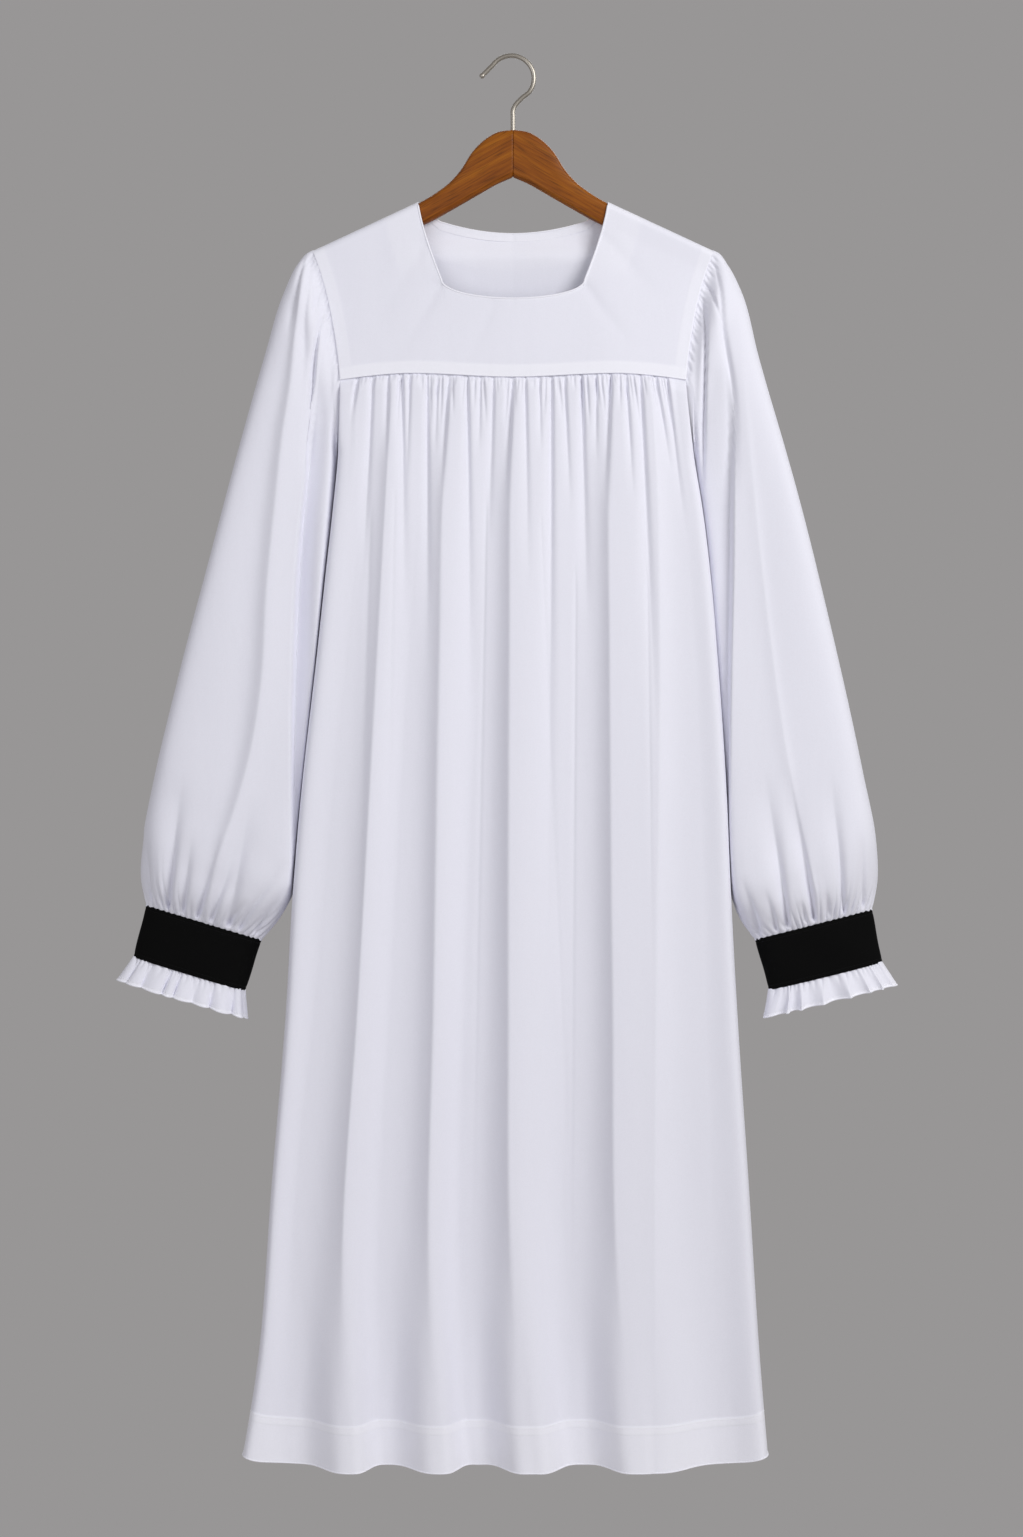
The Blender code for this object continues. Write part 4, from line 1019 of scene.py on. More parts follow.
# %% Rings
def oval(edges, half_depth, squareness, side, squarer=(0.0, 0.0)):
    """A superellipse ring from the outer edge over the front to the inner edge and back behind.

    The two extras make its outer and its inner half squarer, so that its front lies flatter there.
    """
    angle = np.linspace(0, 2 * np.pi, RING_POINTS, endpoint=False)
    power = 2 / (squareness + np.where(np.cos(angle) < 0, squarer[1], squarer[0]))
    across = np.sign(np.cos(angle)) * np.abs(np.cos(angle)) ** power
    forward = np.sign(np.sin(angle)) * np.abs(np.sin(angle)) ** power
    outer_x, outer_z, inner_x, inner_z = edges
    x = (outer_x + inner_x) / 2 + (outer_x - inner_x) / 2 * across
    z = (outer_z + inner_z) / 2 + (outer_z - inner_z) / 2 * across
    return np.stack([side * x, -half_depth * forward, z], axis=1)


def armhole_ring(side):
    """The armhole seam all round, from the shoulder over the front to the underarm."""
    angle = np.linspace(0, 2 * np.pi, RING_POINTS, endpoint=False)
    z = (ARMHOLE_Z[0] + UNDERARM_Z) / 2 + (ARMHOLE_Z[0] - UNDERARM_Z) / 2 * np.cos(angle)
    above_corner = soft_step((z - ARMHOLE_Z[-1] + CORNER_DROP) / CORNER_RUN)
    gap = CORNER_GAP + (ARMHOLE_GAP - CORNER_GAP) * above_corner
    x = side * (armhole_x(z, side) + gap)
    return np.stack([x, -np.sign(np.sin(angle)) * armhole_depth(z, side), z], axis=1)


def evenly(rings, columns, front=0.0):
    """Each ring's points moved to lie evenly along it, or drawn together on its front half."""
    closed = closed_round(rings)
    along = np.pad(np.cumsum(np.linalg.norm(np.diff(closed, axis=1), axis=2), axis=1), ((0, 0), (1, 0)))
    share = turns(columns, front)
    return np.array([
        np.stack([np.interp(share * length[-1], length, ring[:, axis]) for axis in range(3)], axis=1)
        for ring, length in zip(closed, along)
    ])


def turns(columns, front=0.0):
    """Where the columns lie round a tube, from 0 to 1, drawn together on the front half."""
    even = np.linspace(0, 1, columns, endpoint=False)
    return even + front * (np.cos(2 * np.pi * even) - 1) / (2 * np.pi)


def ring_normals(rings):
    """Unit directions out of a tube: square to the ring and to the run of the tube."""
    around = np.roll(rings, -1, axis=1) - np.roll(rings, 1, axis=1)
    down = np.gradient(rings.mean(axis=1), axis=0)[:, None, :]
    out = unit(np.cross(around, down))
    away = ((rings - rings.mean(axis=1, keepdims=True)) * out).sum(axis=2).mean()
    return out * np.sign(away)


# %% [markdown]
# The head of a sleeve has small gathers over its upper part, and the wrist has them all round. Those
# at the wrist open out into the fullness above it, a few much longer than the rest. The front layer
# ends in a fold beside the tunic, and a strip of the sleeve beyond that fold lies lower, in shade.

# %% The sleeves' gathers
HEAD_GATHERS, HEAD_START, HEAD_RUN = 26, 0.004, 0.135
WRIST_GATHERS = 44


def head_gathers(side, seed):
    """Seeded creases that leave the armhole seam outward and bend down, steeper towards the underarm."""
    chance = np.random.default_rng(seed)
    share = (np.arange(HEAD_GATHERS) + 0.5 + chance.uniform(-0.3, 0.3, HEAD_GATHERS)) / HEAD_GATHERS
    z = ARMHOLE_Z[0] - HEAD_START - HEAD_RUN * share
    x = armhole_x(z, side) + ARMHOLE_GAP
    angle = np.radians(48 + 30 * share + chance.uniform(-6, 6, HEAD_GATHERS))
    reach = (0.007 + 0.016 * chance.uniform(0, 1, HEAD_GATHERS) ** 2) * (1 - 0.4 * share)
    wide = chance.uniform(0.0009, 0.0013, HEAD_GATHERS)
    deep = 0.0013 + 0.055 * reach
    end_x, end_z = x + reach * np.cos(angle), z - reach * np.sin(angle)
    return np.stack([side * x, z, side * end_x, end_z, wide, wide + 0.05 * reach, deep], axis=1)


def wrist_gathers(turn, distance, seed):
    """Round ridges with sharp troughs round the wrist, each with its own place, height and reach."""
    chance = np.random.default_rng(seed)
    heights = chance.uniform(0.5, 1.4, WRIST_GATHERS)
    reaches = 0.008 + 0.018 * chance.uniform(0, 1, WRIST_GATHERS) ** 2.4
    shift = chance.uniform(-0.3, 0.3, WRIST_GATHERS)
    place = (turn * WRIST_GATHERS) % WRIST_GATHERS
    number = np.arange(WRIST_GATHERS) + 0.5
    place = place + np.interp(place, number, shift, period=WRIST_GATHERS)
    ridge = 2 * np.abs(np.sin(np.pi * place)) ** 0.7 - 1.3
    height = np.interp(place, number, heights, period=WRIST_GATHERS)
    reach = np.interp(place, number, reaches, period=WRIST_GATHERS)
    return ridge * height * np.exp(-((distance / reach) ** 1.5))


# Creases that start at the wrist band. Columns: start x and height, end x and height, half width at
# both ends, depth
WRIST_CREASES = {
    LEFT: (
        (-0.3837, -0.8890, -0.3880, -0.8150, 0.0026, 0.007, 0.0044),
        (-0.3640, -0.8990, -0.3480, -0.7650, 0.0028, 0.012, 0.0086),
        (-0.3477, -0.9040, -0.3370, -0.8250, 0.0024, 0.008, 0.0060),
        (-0.3318, -0.9090, -0.3060, -0.8250, 0.0026, 0.009, 0.0080),
        (-0.3180, -0.9140, -0.2870, -0.8300, 0.0024, 0.011, 0.0064),
        (-0.3000, -0.9190, -0.2800, -0.8900, 0.0022, 0.005, 0.0040),
        (-0.2980, -0.9180, -0.2740, -0.7800, 0.0040, 0.014, 0.0050),
        (-0.2883, -0.9220, -0.2400, -0.8520, 0.0024, 0.008, 0.0058),
        (-0.2724, -0.9290, -0.2340, -0.8760, 0.0022, 0.007, 0.0054),
    ),
    RIGHT: (
        (0.2600, -0.9270, 0.2380, -0.8660, 0.0026, 0.008, 0.0056),
        (0.2774, -0.9210, 0.2640, -0.8800, 0.0022, 0.005, 0.0044),
        (0.2893, -0.9170, 0.2640, -0.7600, 0.0026, 0.012, 0.0080),
        (0.3077, -0.9120, 0.3020, -0.8920, 0.0020, 0.004, 0.0034),
        (0.3180, -0.9100, 0.2870, -0.7500, 0.0024, 0.010, 0.0080),
        (0.3340, -0.9060, 0.3290, -0.8820, 0.0020, 0.004, 0.0030),
        (0.3498, -0.9040, 0.3330, -0.7600, 0.0024, 0.010, 0.0062),
        (0.3710, -0.8990, 0.3660, -0.8200, 0.0022, 0.005, 0.0040),
    ),
}

# Folds that hang from the head. Columns: height, x, half width, depth
HEAD_FOLDS = {
    LEFT: (
        (
            (-0.208, -0.2190, 0.0014, 0.0000),
            (-0.232, -0.2256, 0.0020, 0.0026),
            (-0.262, -0.2310, 0.0026, 0.0022),
            (-0.300, -0.2370, 0.0034, 0.0000),
        ),
        (
            (-0.213, -0.2130, 0.0015, 0.0000),
            (-0.246, -0.2162, 0.0025, 0.0026),
            (-0.271, -0.2188, 0.0032, 0.0028),
            (-0.316, -0.2194, 0.0045, 0.0022),
            (-0.380, -0.2210, 0.0060, 0.0000),
        ),
        (
            (-0.268, -0.1985, 0.0012, 0.0000),
            (-0.290, -0.2039, 0.0017, 0.0044),
            (-0.316, -0.2078, 0.0022, 0.0062),
            (-0.368, -0.2114, 0.0032, 0.0070),
            (-0.405, -0.2136, 0.0040, 0.0050),
            (-0.450, -0.2160, 0.0050, 0.0000),
        ),
        (
            (-0.246, -0.2025, 0.0012, 0.0000),
            (-0.262, -0.2072, 0.0016, 0.0032),
            (-0.284, -0.2082, 0.0018, 0.0000),
        ),
    ),
    RIGHT: (
        (
            (-0.216, 0.2126, 0.0013, 0.0000),
            (-0.243, 0.2184, 0.0018, 0.0024),
            (-0.288, 0.2215, 0.0027, 0.0036),
            (-0.351, 0.2306, 0.0040, 0.0042),
            (-0.419, 0.2322, 0.0055, 0.0030),
            (-0.470, 0.2318, 0.0060, 0.0000),
        ),
        (
            (-0.255, 0.2010, 0.0012, 0.0000),
            (-0.283, 0.2025, 0.0014, 0.0046),
            (-0.351, 0.2012, 0.0017, 0.0062),
            (-0.396, 0.2003, 0.0020, 0.0060),
            (-0.460, 0.1998, 0.0024, 0.0000),
        ),
        (
            (-0.240, 0.2060, 0.0012, 0.0000),
            (-0.258, 0.2120, 0.0016, 0.0026),
            (-0.280, 0.2184, 0.0020, 0.0000),
        ),
        (
            (-0.300, 0.2390, 0.0034, 0.0000),
            (-0.420, 0.2490, 0.0044, -0.0007),
            (-0.545, 0.2613, 0.0052, -0.0010),
            (-0.660, 0.2754, 0.0060, -0.0013),
            (-0.737, 0.2868, 0.0060, -0.0014),
            (-0.826, 0.3047, 0.0048, -0.0018),
            (-0.872, 0.3150, 0.0034, -0.0016),
            (-0.890, 0.3200, 0.0024, 0.0000),
        ),
    ),
}

# The left sleeve's long crest, from the head to the band. Columns: height, x, half width, how high
LEFT_CREST = (
    (-0.214, -0.2180, 0.0018, 0.0000),
    (-0.261, -0.2240, 0.0036, 0.0028),
    (-0.295, -0.2280, 0.0052, 0.0040),
    (-0.346, -0.2330, 0.0080, 0.0052),
    (-0.397, -0.2408, 0.0100, 0.0060),
    (-0.487, -0.2505, 0.0120, 0.0068),
    (-0.559, -0.2575, 0.0125, 0.0072),
    (-0.664, -0.2635, 0.0130, 0.0074),
    (-0.743, -0.2765, 0.0120, 0.0066),
    (-0.808, -0.2955, 0.0095, 0.0056),
    (-0.861, -0.3150, 0.0060, 0.0036),
    (-0.893, -0.3240, 0.0035, 0.0000),
)

# Where the front layer's fold lies beside the tunic. Columns: height, distance from the middle, and the
# share of its depth that the strip beyond it loses
FRONT_FOLDS = {
    LEFT: np.array((
        (-0.300, 0.2050, 0.00),
        (-0.345, 0.2085, 0.10),
        (-0.382, 0.2125, 0.26),
        (-0.440, 0.2192, 0.37),
        (-0.515, 0.2275, 0.43),
        (-0.590, 0.2315, 0.45),
        (-0.666, 0.2340, 0.42),
        (-0.774, 0.2356, 0.29),
        (-0.854, 0.2358, 0.06),
        (-0.880, 0.2360, 0.00),
    )),
    RIGHT: np.array((
        (-0.330, 0.2280, 0.00),
        (-0.397, 0.2320, 0.16),
        (-0.440, 0.2322, 0.25),
        (-0.515, 0.2320, 0.28),
        (-0.590, 0.2315, 0.28),
        (-0.666, 0.2310, 0.27),
        (-0.774, 0.2310, 0.20),
        (-0.830, 0.2311, 0.09),
        (-0.860, 0.2332, 0.00),
    )),
}
FOLD_STEP = 0.004
STRIP_RISE, STRIP_WIDTH = {LEFT: 1.0, RIGHT: 0.0}, 0.023
SIDE_CLEARANCE, SIDE_CONTACT, SIDE_REACH = 0.0003, 0.010, 0.11


def folded_front(net, side):
    """The strip beyond the front fold, on both faces, drawn towards the middle plane.

    The left one rises again towards the tunic, and so faces away from the light.
    """
    x, y, z = np.moveaxis(net, 2, 0)
    table = FRONT_FOLDS[side]
    beyond = smooth_line(z, table[:, 0], table[:, 1]) - side * x
    low = np.interp(-z, -table[:, 0], table[:, 2])
    inside = (z < table[0, 0]) & (z > table[-1, 0])
    rise = 1 - STRIP_RISE[side] * soft_step((beyond - FOLD_STEP) / STRIP_WIDTH)
    share = 1 - low * inside * soft_step(beyond / FOLD_STEP) * rise
    return np.stack([x, y * share, z], axis=2)


def beside_tunic(net, side, turn):
    """The inner edge laid just clear of the tunic's side and following its round. The rest stays."""
    y, z = net[..., 1], net[..., 2]
    weight = np.exp(-(((turn - 0.5) / SIDE_REACH) ** 4))
    inner = net[:, int(np.argmin(np.abs(turn - 0.5)))]
    column = 1 if side == LEFT else 2
    seam = side * smooth_line(inner[:, 2], TUNIC[:, 0], TUNIC[:, column]) + SIDE_CLEARANCE
    along_side = soft_step((inner[:, 2] + 0.900) / 0.03)
    along_side *= soft_step((UNDERARM_Z + 0.01 - inner[:, 2]) / 0.02)
    stand = smooth_line(z, TUNIC[:, 0], TUNIC[:, 3])
    nested = np.minimum(side_distance(np.abs(y) / stand), SIDE_CONTACT)
    move = ((seam - side * inner[:, 0])[:, None] - nested) * along_side[:, None] * weight
    return net + side * np.stack([move, 0 * y, 0 * z], axis=2)


# %% The sleeves' nets
LAYER_BLEND = 0.006


def layer_creases(x, z, side, seed, wrist_shift=0.0, fold_shift=0.0):
    """Depth of the creases of one layer, those at the wrist and the head's folds shifted across."""
    total = sum(crease(x + wrist_shift, z, row) for row in WRIST_CREASES[side])
    total += sum(valley(x + fold_shift, z, rows) for rows in HEAD_FOLDS[side])
    return total + sum(crease(x, z, row) for row in head_gathers(side, seed))


def sleeve_creases(net, side):
    """Depth of the creases, as seen from the front on the front layer, and others like them behind."""
    x, y, z = np.moveaxis(net, 2, 0)
    front = layer_creases(x, z, side, 61 + side)
    if side == LEFT:
        front = front - long_crest(x, z, LEFT_CREST)
    behind = layer_creases(x, z, side, 71 + side, 0.008, 0.006)
    return front * soft_step(-y / LAYER_BLEND) + behind * soft_step(y / LAYER_BLEND)


FRONT_DENSITY = 0.4
WRIST_GATHER_HEIGHT, SLEEVE_RIPPLE = 0.0019, 0.0015
UNDERARM_HALF_DEPTH, UNDERARM_SQUARENESS = 0.028, 2.2

# The strip against the tunic that stays smooth, as a part of the way round, and where it ends
SMOOTH_STRIP, SMOOTH_RUN, SMOOTH_ABOVE_BAND = 0.02, 0.05, 0.035

# The sleeve's first rings: how far out along the shoulder's line they lie, and their share of the depth
HEAD_RINGS = ((-0.0022, 0.94), (-0.0004, 0.965), (0.0035, 1.0))

# The armhole's share in the shape of each ring after them
ARMHOLE_SHARES = (0.7, 0.45, 0.15) + (0.0,) * 6

# The last two rings: where they lie along the wrist band, and how much slimmer than it they are
BAND_RINGS = ((-0.01, 0.0002), (0.03, 0.0022))

# How much squarer each ring is at its outer fold, and where it lies against the tunic
SQUARER = (
    (0.0, 0.4),
    (0.4, 1.6),
    (1.4, 4.0),
    (2.8, 8.0),
    (3.4, 10.0),
    (3.4, 10.0),
    (2.4, 8.0),
    (1.0, 3.0),
    (0.0, 0.4),
)


def sleeve_net(side, columns=380, rows=100):
    """Control rings joined by the smooth line, with gathers and creases taken from the surface."""
    armhole = armhole_ring(side)
    outward = np.array([side, 0, -SHOULDER_SLOPE])
    rings = [(armhole + out * outward) * (1, flat, 1) for out, flat in HEAD_RINGS]
    seam_ends = (ARMHOLE_X[0], ARMHOLE_Z[0], UNDERARM_X[side], UNDERARM_Z)
    first_oval = oval(seam_ends, UNDERARM_HALF_DEPTH, UNDERARM_SQUARENESS, side)
    bow = armhole[:, 0] - first_oval[:, 0]
    for level, share, squarer in zip(SLEEVES[side], ARMHOLE_SHARES, SQUARER):
        ring = oval(level[:4], level[4], level[5], side, squarer)
        ring[:, 0] += bow * share
        rings.append(ring)
    band_top, band_bottom = WRISTS[side][:2]
    run = band_bottom - band_top
    at_band, in_band = (
        oval(band_top + place * run, BAND_HALF_DEPTH - slimmer, BAND_SQUARENESS, side)
        for place, slimmer in BAND_RINGS
    )
    rings = np.array(rings + [at_band])
    along = distances(rings.mean(axis=1))
    wanted = spaced(along[-1], 0.0012, 0.011, 0.10, rows - 1)
    net = np.concatenate([smooth_line(wanted, along, rings), in_band[None]])
    net = evenly(net, columns, FRONT_DENSITY)
    turn = turns(columns, FRONT_DENSITY)[None, :]
    net = beside_tunic(folded_front(net, side), side, turn)
    from_head = np.append(wanted, along[-1])[:, None]
    from_band = along[-1] - from_head
    wrist = WRIST_GATHER_HEIGHT * wrist_gathers(turn, from_band, 31 + side)
    wrist = wrist * rising(0.45, from_band / 0.006)
    near_seam = rising(0.35, from_head / 0.006)
    creases = sleeve_creases(net, side) * soft_step(from_band / 0.008) * near_seam
    uneven = ripple(net[..., 0], net[..., 2], 51 + side, SLEEVE_RIPPLE) * soft_step(from_band / 0.05)
    uneven = uneven * soft_step(from_head / 0.05)
    away = soft_step((np.abs(turn - 0.5) - SMOOTH_STRIP) / SMOOTH_RUN)
    smooth = np.where(from_band > SMOOTH_ABOVE_BAND, away, 1.0)
    return net + ring_normals(net) * ((wrist - creases + uneven) * smooth)[..., None]


for side, word in SIDES:
    net = sleeve_net(side)
    piece = surface_piece(
        f"sleeve_{word}_cloth", net, white_cotton, "white_cotton", around=True, outward=side
    )
    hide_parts(f"sleeve_{word}")
    print("sleeve", word, "area", round(net_area(closed_round(net)), 3))

# %% [markdown]
# ## Wrist bands and frills
# A band is a doubled strip of black cotton, sewn round as an oval tube with its two edges turned in,
# so they are softly rounded. A frill is a gathered strip: close waves at the band that open towards a
# narrow rolled edge.

# %% Wrist bands
BAND_HEIGHT = 0.057
BAND_TURN = 0.0022
STITCH_INSET = 0.0042
BAND_ROUND, BAND_SWELL = 0.0009, 0.0006
SEWN_DEPTH, SEWN_WIDTH = 0.00035, 0.0011


def band_net(side, columns=180, rows=30):
    """An oval tube between the band's two edges, pinched slightly at both where it is sewn."""
    distance = spaced(BAND_HEIGHT, 0.0004, 0.004, 0.3, rows)[:, None]
    share = distance / BAND_HEIGHT
    edges = WRISTS[side][0] + (WRISTS[side][1] - WRISTS[side][0]) * share
    rings = np.array([oval(edge, BAND_HALF_DEPTH, BAND_SQUARENESS, side) for edge in edges])
    net = evenly(rings, columns)
    from_edge = np.minimum(distance, BAND_HEIGHT - distance)
    round_edge = BAND_ROUND * (1 - quarter_round(from_edge / BAND_TURN))
    sewn = SEWN_DEPTH * np.exp(-(((from_edge - STITCH_INSET) / SEWN_WIDTH) ** 2))
    turn = np.arange(columns)[None, :] / columns
    swell = BAND_SWELL * np.sin(2 * np.pi * (4 * turn + 0.6 * share + 0.3 * side))
    swell *= np.sin(np.pi * share)
    return net - ring_normals(net) * (round_edge + sewn - swell)[..., None]


bands = {}
for side, word in SIDES:
    net = band_net(side)
    look = {"around": True, "outward": side, "wall": BAND_CLOTH}
    piece = surface_piece(f"wrist_band_{word}_cloth", net, black_cotton, "black_cotton", **look)
    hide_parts(f"cuff_{word}")
    bands[side] = (piece, net)

# %% Frills
FRILL_PLEATS = 15
FRILL_TUCK, FRILL_SLIMMER, FRILL_SPREAD = 0.05, 0.0022, 0.0055
FRILL_WAVE, FRILL_WAVE_GROWTH = 0.0004, 0.0034
FRILL_GATHER, FRILL_SLIDE, FRILL_DIP = 0.0024, 0.0024, 0.0006


def frill_net(side, columns=300, rows=26):
    """Uneven waves round a tube that grow from the band to the free edge and lean over each other."""
    share = np.linspace(-FRILL_TUCK, 1, rows)
    top, low = WRISTS[side][1:]
    edges = top + (low - top) * share[:, None]
    grown = np.clip(share, 0, 1)[:, None]
    half_depth = BAND_HALF_DEPTH - FRILL_SLIMMER + FRILL_SPREAD * grown[:, 0]
    rings = np.array([oval(e, d, BAND_SQUARENESS, side) for e, d in zip(edges, half_depth)])
    net = evenly(rings, columns)
    chance = np.random.default_rng(43 + side)
    heights = chance.uniform(0.35, 1.5, FRILL_PLEATS)
    shift = chance.uniform(-0.42, 0.42, FRILL_PLEATS)
    leans = chance.uniform(0.6, 2.0, FRILL_PLEATS)
    turn = np.arange(columns)[None, :] / columns * FRILL_PLEATS
    number = np.arange(FRILL_PLEATS) + 0.5
    place = turn + np.interp(turn, number, shift, period=FRILL_PLEATS)
    height = np.interp(turn, number, heights, period=FRILL_PLEATS)
    lean = np.interp(turn, number, leans, period=FRILL_PLEATS)
    wave = np.cos(2 * np.pi * place) * height
    small = np.abs(np.sin(2 * np.pi * place * 1.5 + 0.6)) ** 0.7 - 0.6
    size = FRILL_WAVE + FRILL_WAVE_GROWTH * grown
    out = size * wave + FRILL_GATHER * small * np.exp(-((grown / 0.30) ** 2))
    normals = ring_normals(net)
    around = unit(np.roll(net, -1, axis=1) - np.roll(net, 1, axis=1))
    slide = -side * FRILL_SLIDE * grown * lean * np.sin(2 * np.pi * place)
    down = net[-1].mean(axis=0) - net[0].mean(axis=0)
    down = down / np.linalg.norm(down)
    dip = FRILL_DIP * grown**2 * wave
    return net + normals * out[..., None] + around * slide[..., None] + down * dip[..., None]


frills = {}
for side, word in SIDES:
    net = frill_net(side)
    at_edge = np.linspace(0, 1, len(net))[:, None] > 0.9
    edge_cover = np.broadcast_to(at_edge * 0.8, net.shape[:2])
    look = {"around": True, "outward": side, "doubled": edge_cover}
    piece = surface_piece(f"frill_{word}_cloth", net, white_cotton, "white_cotton", **look)
    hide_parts(f"frill_{word}")
    frills[side] = (piece, net)
    print("frill", word, "area", round(net_area(closed_round(net)), 4))


# %% [markdown]
# ## Rolled edges and piping
# Fine edges catch the light as bright lines: the piped neck, the yoke seam and the frills' rolled hems.
# Each is a small tube carried along the edge of its cloth.

# %% A tube along an edge
def tube_along(name, path, radius, finish, slot, around=False, sides=10):
    """A circle carried along a path of points, in the plane square to it."""
    path = np.asarray(path, float)
    if around:
        run = unit(np.roll(path, -1, axis=0) - np.roll(path, 1, axis=0))
    else:
        run = unit(np.gradient(path, axis=0))
    side_way = unit(np.cross(run, (0.0, 1.0, 0.0)))
    other_way = np.cross(run, side_way)
    radius = np.broadcast_to(radius, len(path))[:, None, None]
    angle = np.linspace(0, 2 * np.pi, sides, endpoint=False)[None, :, None]
    ring = side_way[:, None] * np.cos(angle) + other_way[:, None] * np.sin(angle)
    net = path[:, None] + radius * ring
    index = closed_round(numbered(*net.shape[:2]))
    if around:
        index = np.concatenate([index, index[:1]], axis=0)
    faces = quads(index).tolist()
    if not around:
        faces += [index[0, :-1][::-1].tolist(), index[-1, :-1].tolist()]
    piece = closed_piece(name, net, faces, finish)
    mesh = piece.data
    layer = mesh.uv_layers.new(name="Cloth")
    corner = np.zeros(len(mesh.loops), dtype=np.int32)
    mesh.loops.foreach_get("vertex_index", corner)
    flat = net.reshape(-1, 3)[corner]
    layer.data.foreach_set("uv", np.ascontiguousarray(flat[:, (0, 2)], np.float32).ravel())
    amount = np.ones(len(mesh.vertices), np.float32)
    mesh.attributes.new("doubled", "FLOAT", "POINT").data.foreach_set("value", amount)
    return piece


# %% Neck piping, seam piping and rolled hems
PIPING_SUNK = 0.0003
NECK_PIPING, SEAM_PIPING, HEM_FOLD, ROLLED_HEM = 0.0011, 0.0008, 0.0009, 0.0010


def neck_path(net, face):
    """The neck's edge, moved into the cloth's thickness and a little away from the opening."""
    path = net[0, np.abs(net[0, :, 0]) < SIDE_NECK_X - 0.0005] + (0, -face * CLOTH / 2, 0)
    run = unit(np.gradient(path, axis=0))
    return path + PIPING_SUNK * np.stack([run[:, 2], 0 * run[:, 1], -run[:, 0]], axis=1)


for face, net, word in ((FRONT, front_net, "front"), (BACK, back_net, "back")):
    tube_along(f"neck_piping_{word}", neck_path(net, face), NECK_PIPING, white_cotton, "white_cotton")
    seam_path = net[-1] + (0, face * 0.0002, 0.0006)
    tube_along(f"yoke_seam_piping_{word}", seam_path, SEAM_PIPING, white_cotton, "white_cotton")
    hem_path = tunic[face][-1] + (0, -face * CLOTH / 2, 0.0002)
    tube_along(f"hem_fold_{word}", hem_path, HEM_FOLD, white_cotton, "white_cotton", sides=8)
for side, word in SIDES:
    path = frills[side][1][-1] - ring_normals(frills[side][1])[-1] * CLOTH / 2
    look = {"around": True, "sides": 8}
    tube_along(f"frill_{word}_rolled_hem", path, ROLLED_HEM, white_cotton, "white_cotton", **look)


# %% [markdown]
# ## Stitches
# Straight machine stitches are 2.6 mm long with a gap of 0.6 mm. Each is a short capsule of thread, half
# sunk in the cloth. One small capsule is worked out once, and whole rows are placed at once as arrays.

# %% A row of stitches
STITCH_LENGTH, STITCH_PITCH, THREAD = 0.0026, 0.0032, 0.00045
STITCH_RINGS, STITCH_SIDES = 4, 5


def capsule():
    """A low-sided capsule along x: rings whose radius follows a half circle at each end."""
    x = np.array([-0.5, -0.42, 0.42, 0.5])
    radius = np.array([0.25, 0.5, 0.5, 0.25])
    angle = np.linspace(0, 2 * np.pi, STITCH_SIDES, endpoint=False)
    ring = radius[:, None, None] * np.stack([np.cos(angle), np.sin(angle)], axis=1)
    along = np.broadcast_to(x[:, None, None], (STITCH_RINGS, STITCH_SIDES, 1))
    points = np.concatenate([along, ring], axis=2).reshape(-1, 3)
    return points, quads(closed_round(numbered(STITCH_RINGS, STITCH_SIDES)))


def stitch_row(path, out, around=False):
    """Points of one row of stitches: capsules placed evenly along a path, lifted to the surface."""
    path, out = np.asarray(path, float), np.asarray(out, float)
    if around:
        path, out = (np.concatenate([a, a[:1]]) for a in (path, out))
    along = distances(path)
    count = max(int(along[-1] / STITCH_PITCH), 1)
    middle = (np.arange(count) + 0.5) * along[-1] / count
    at, ahead, lift = (
        np.stack([np.interp(place, along, data[:, axis]) for axis in range(3)], axis=1)
        for place, data in ((middle, path), (middle + STITCH_LENGTH / 2, path), (middle, out))
    )
    run = ahead - at
    run /= np.linalg.norm(run, axis=1, keepdims=True) + 1e-12
    side_way = np.cross(lift, run)
    points, _ = capsule()
    local = points * (STITCH_LENGTH, THREAD, THREAD)
    axes = np.stack([run, side_way, lift], axis=1)
    return at[:, None] + np.einsum("pk,skj->spj", local, axes)


def stitches(name, rows, finish):
    """Joins rows of stitches into one piece."""
    all_points = np.concatenate(rows)
    _, sides = capsule()
    count, size = all_points.shape[:2]
    first = size * np.arange(count)[:, None, None]
    faces = (sides + first).reshape(-1, 4)
    ends = numbered(STITCH_RINGS, STITCH_SIDES)[[0, -1]]
    ends[0] = ends[0, ::-1]
    caps = (ends + first).reshape(-1, STITCH_SIDES)
    print(name, count, "stitches")
    return closed_piece(name, all_points, faces.tolist() + caps.tolist(), finish)


def sheet_normals(net, facing):
    """Unit directions out of a sheet, towards its face."""
    out = np.cross(np.gradient(net, axis=1), np.gradient(net, axis=0))
    out /= np.linalg.norm(out, axis=2, keepdims=True) + 1e-12
    return out * facing * np.sign(out[..., 1:2].mean() + 1e-12)


# %% Where the garment is stitched
def on_yoke(x, z, face):
    """Points on the yoke's outer surface, and the direction out of it, found by its change of depth."""
    step = 0.0005
    out = yoke_depth(x, z)
    lean_x = (yoke_depth(x + step, z) - out) / step
    lean_z = (yoke_depth(x, z + step) - out) / step
    normal = unit(np.stack([-lean_x, np.full_like(out, face), -lean_z], axis=1))
    return np.stack([x, face * out, z], axis=1), normal


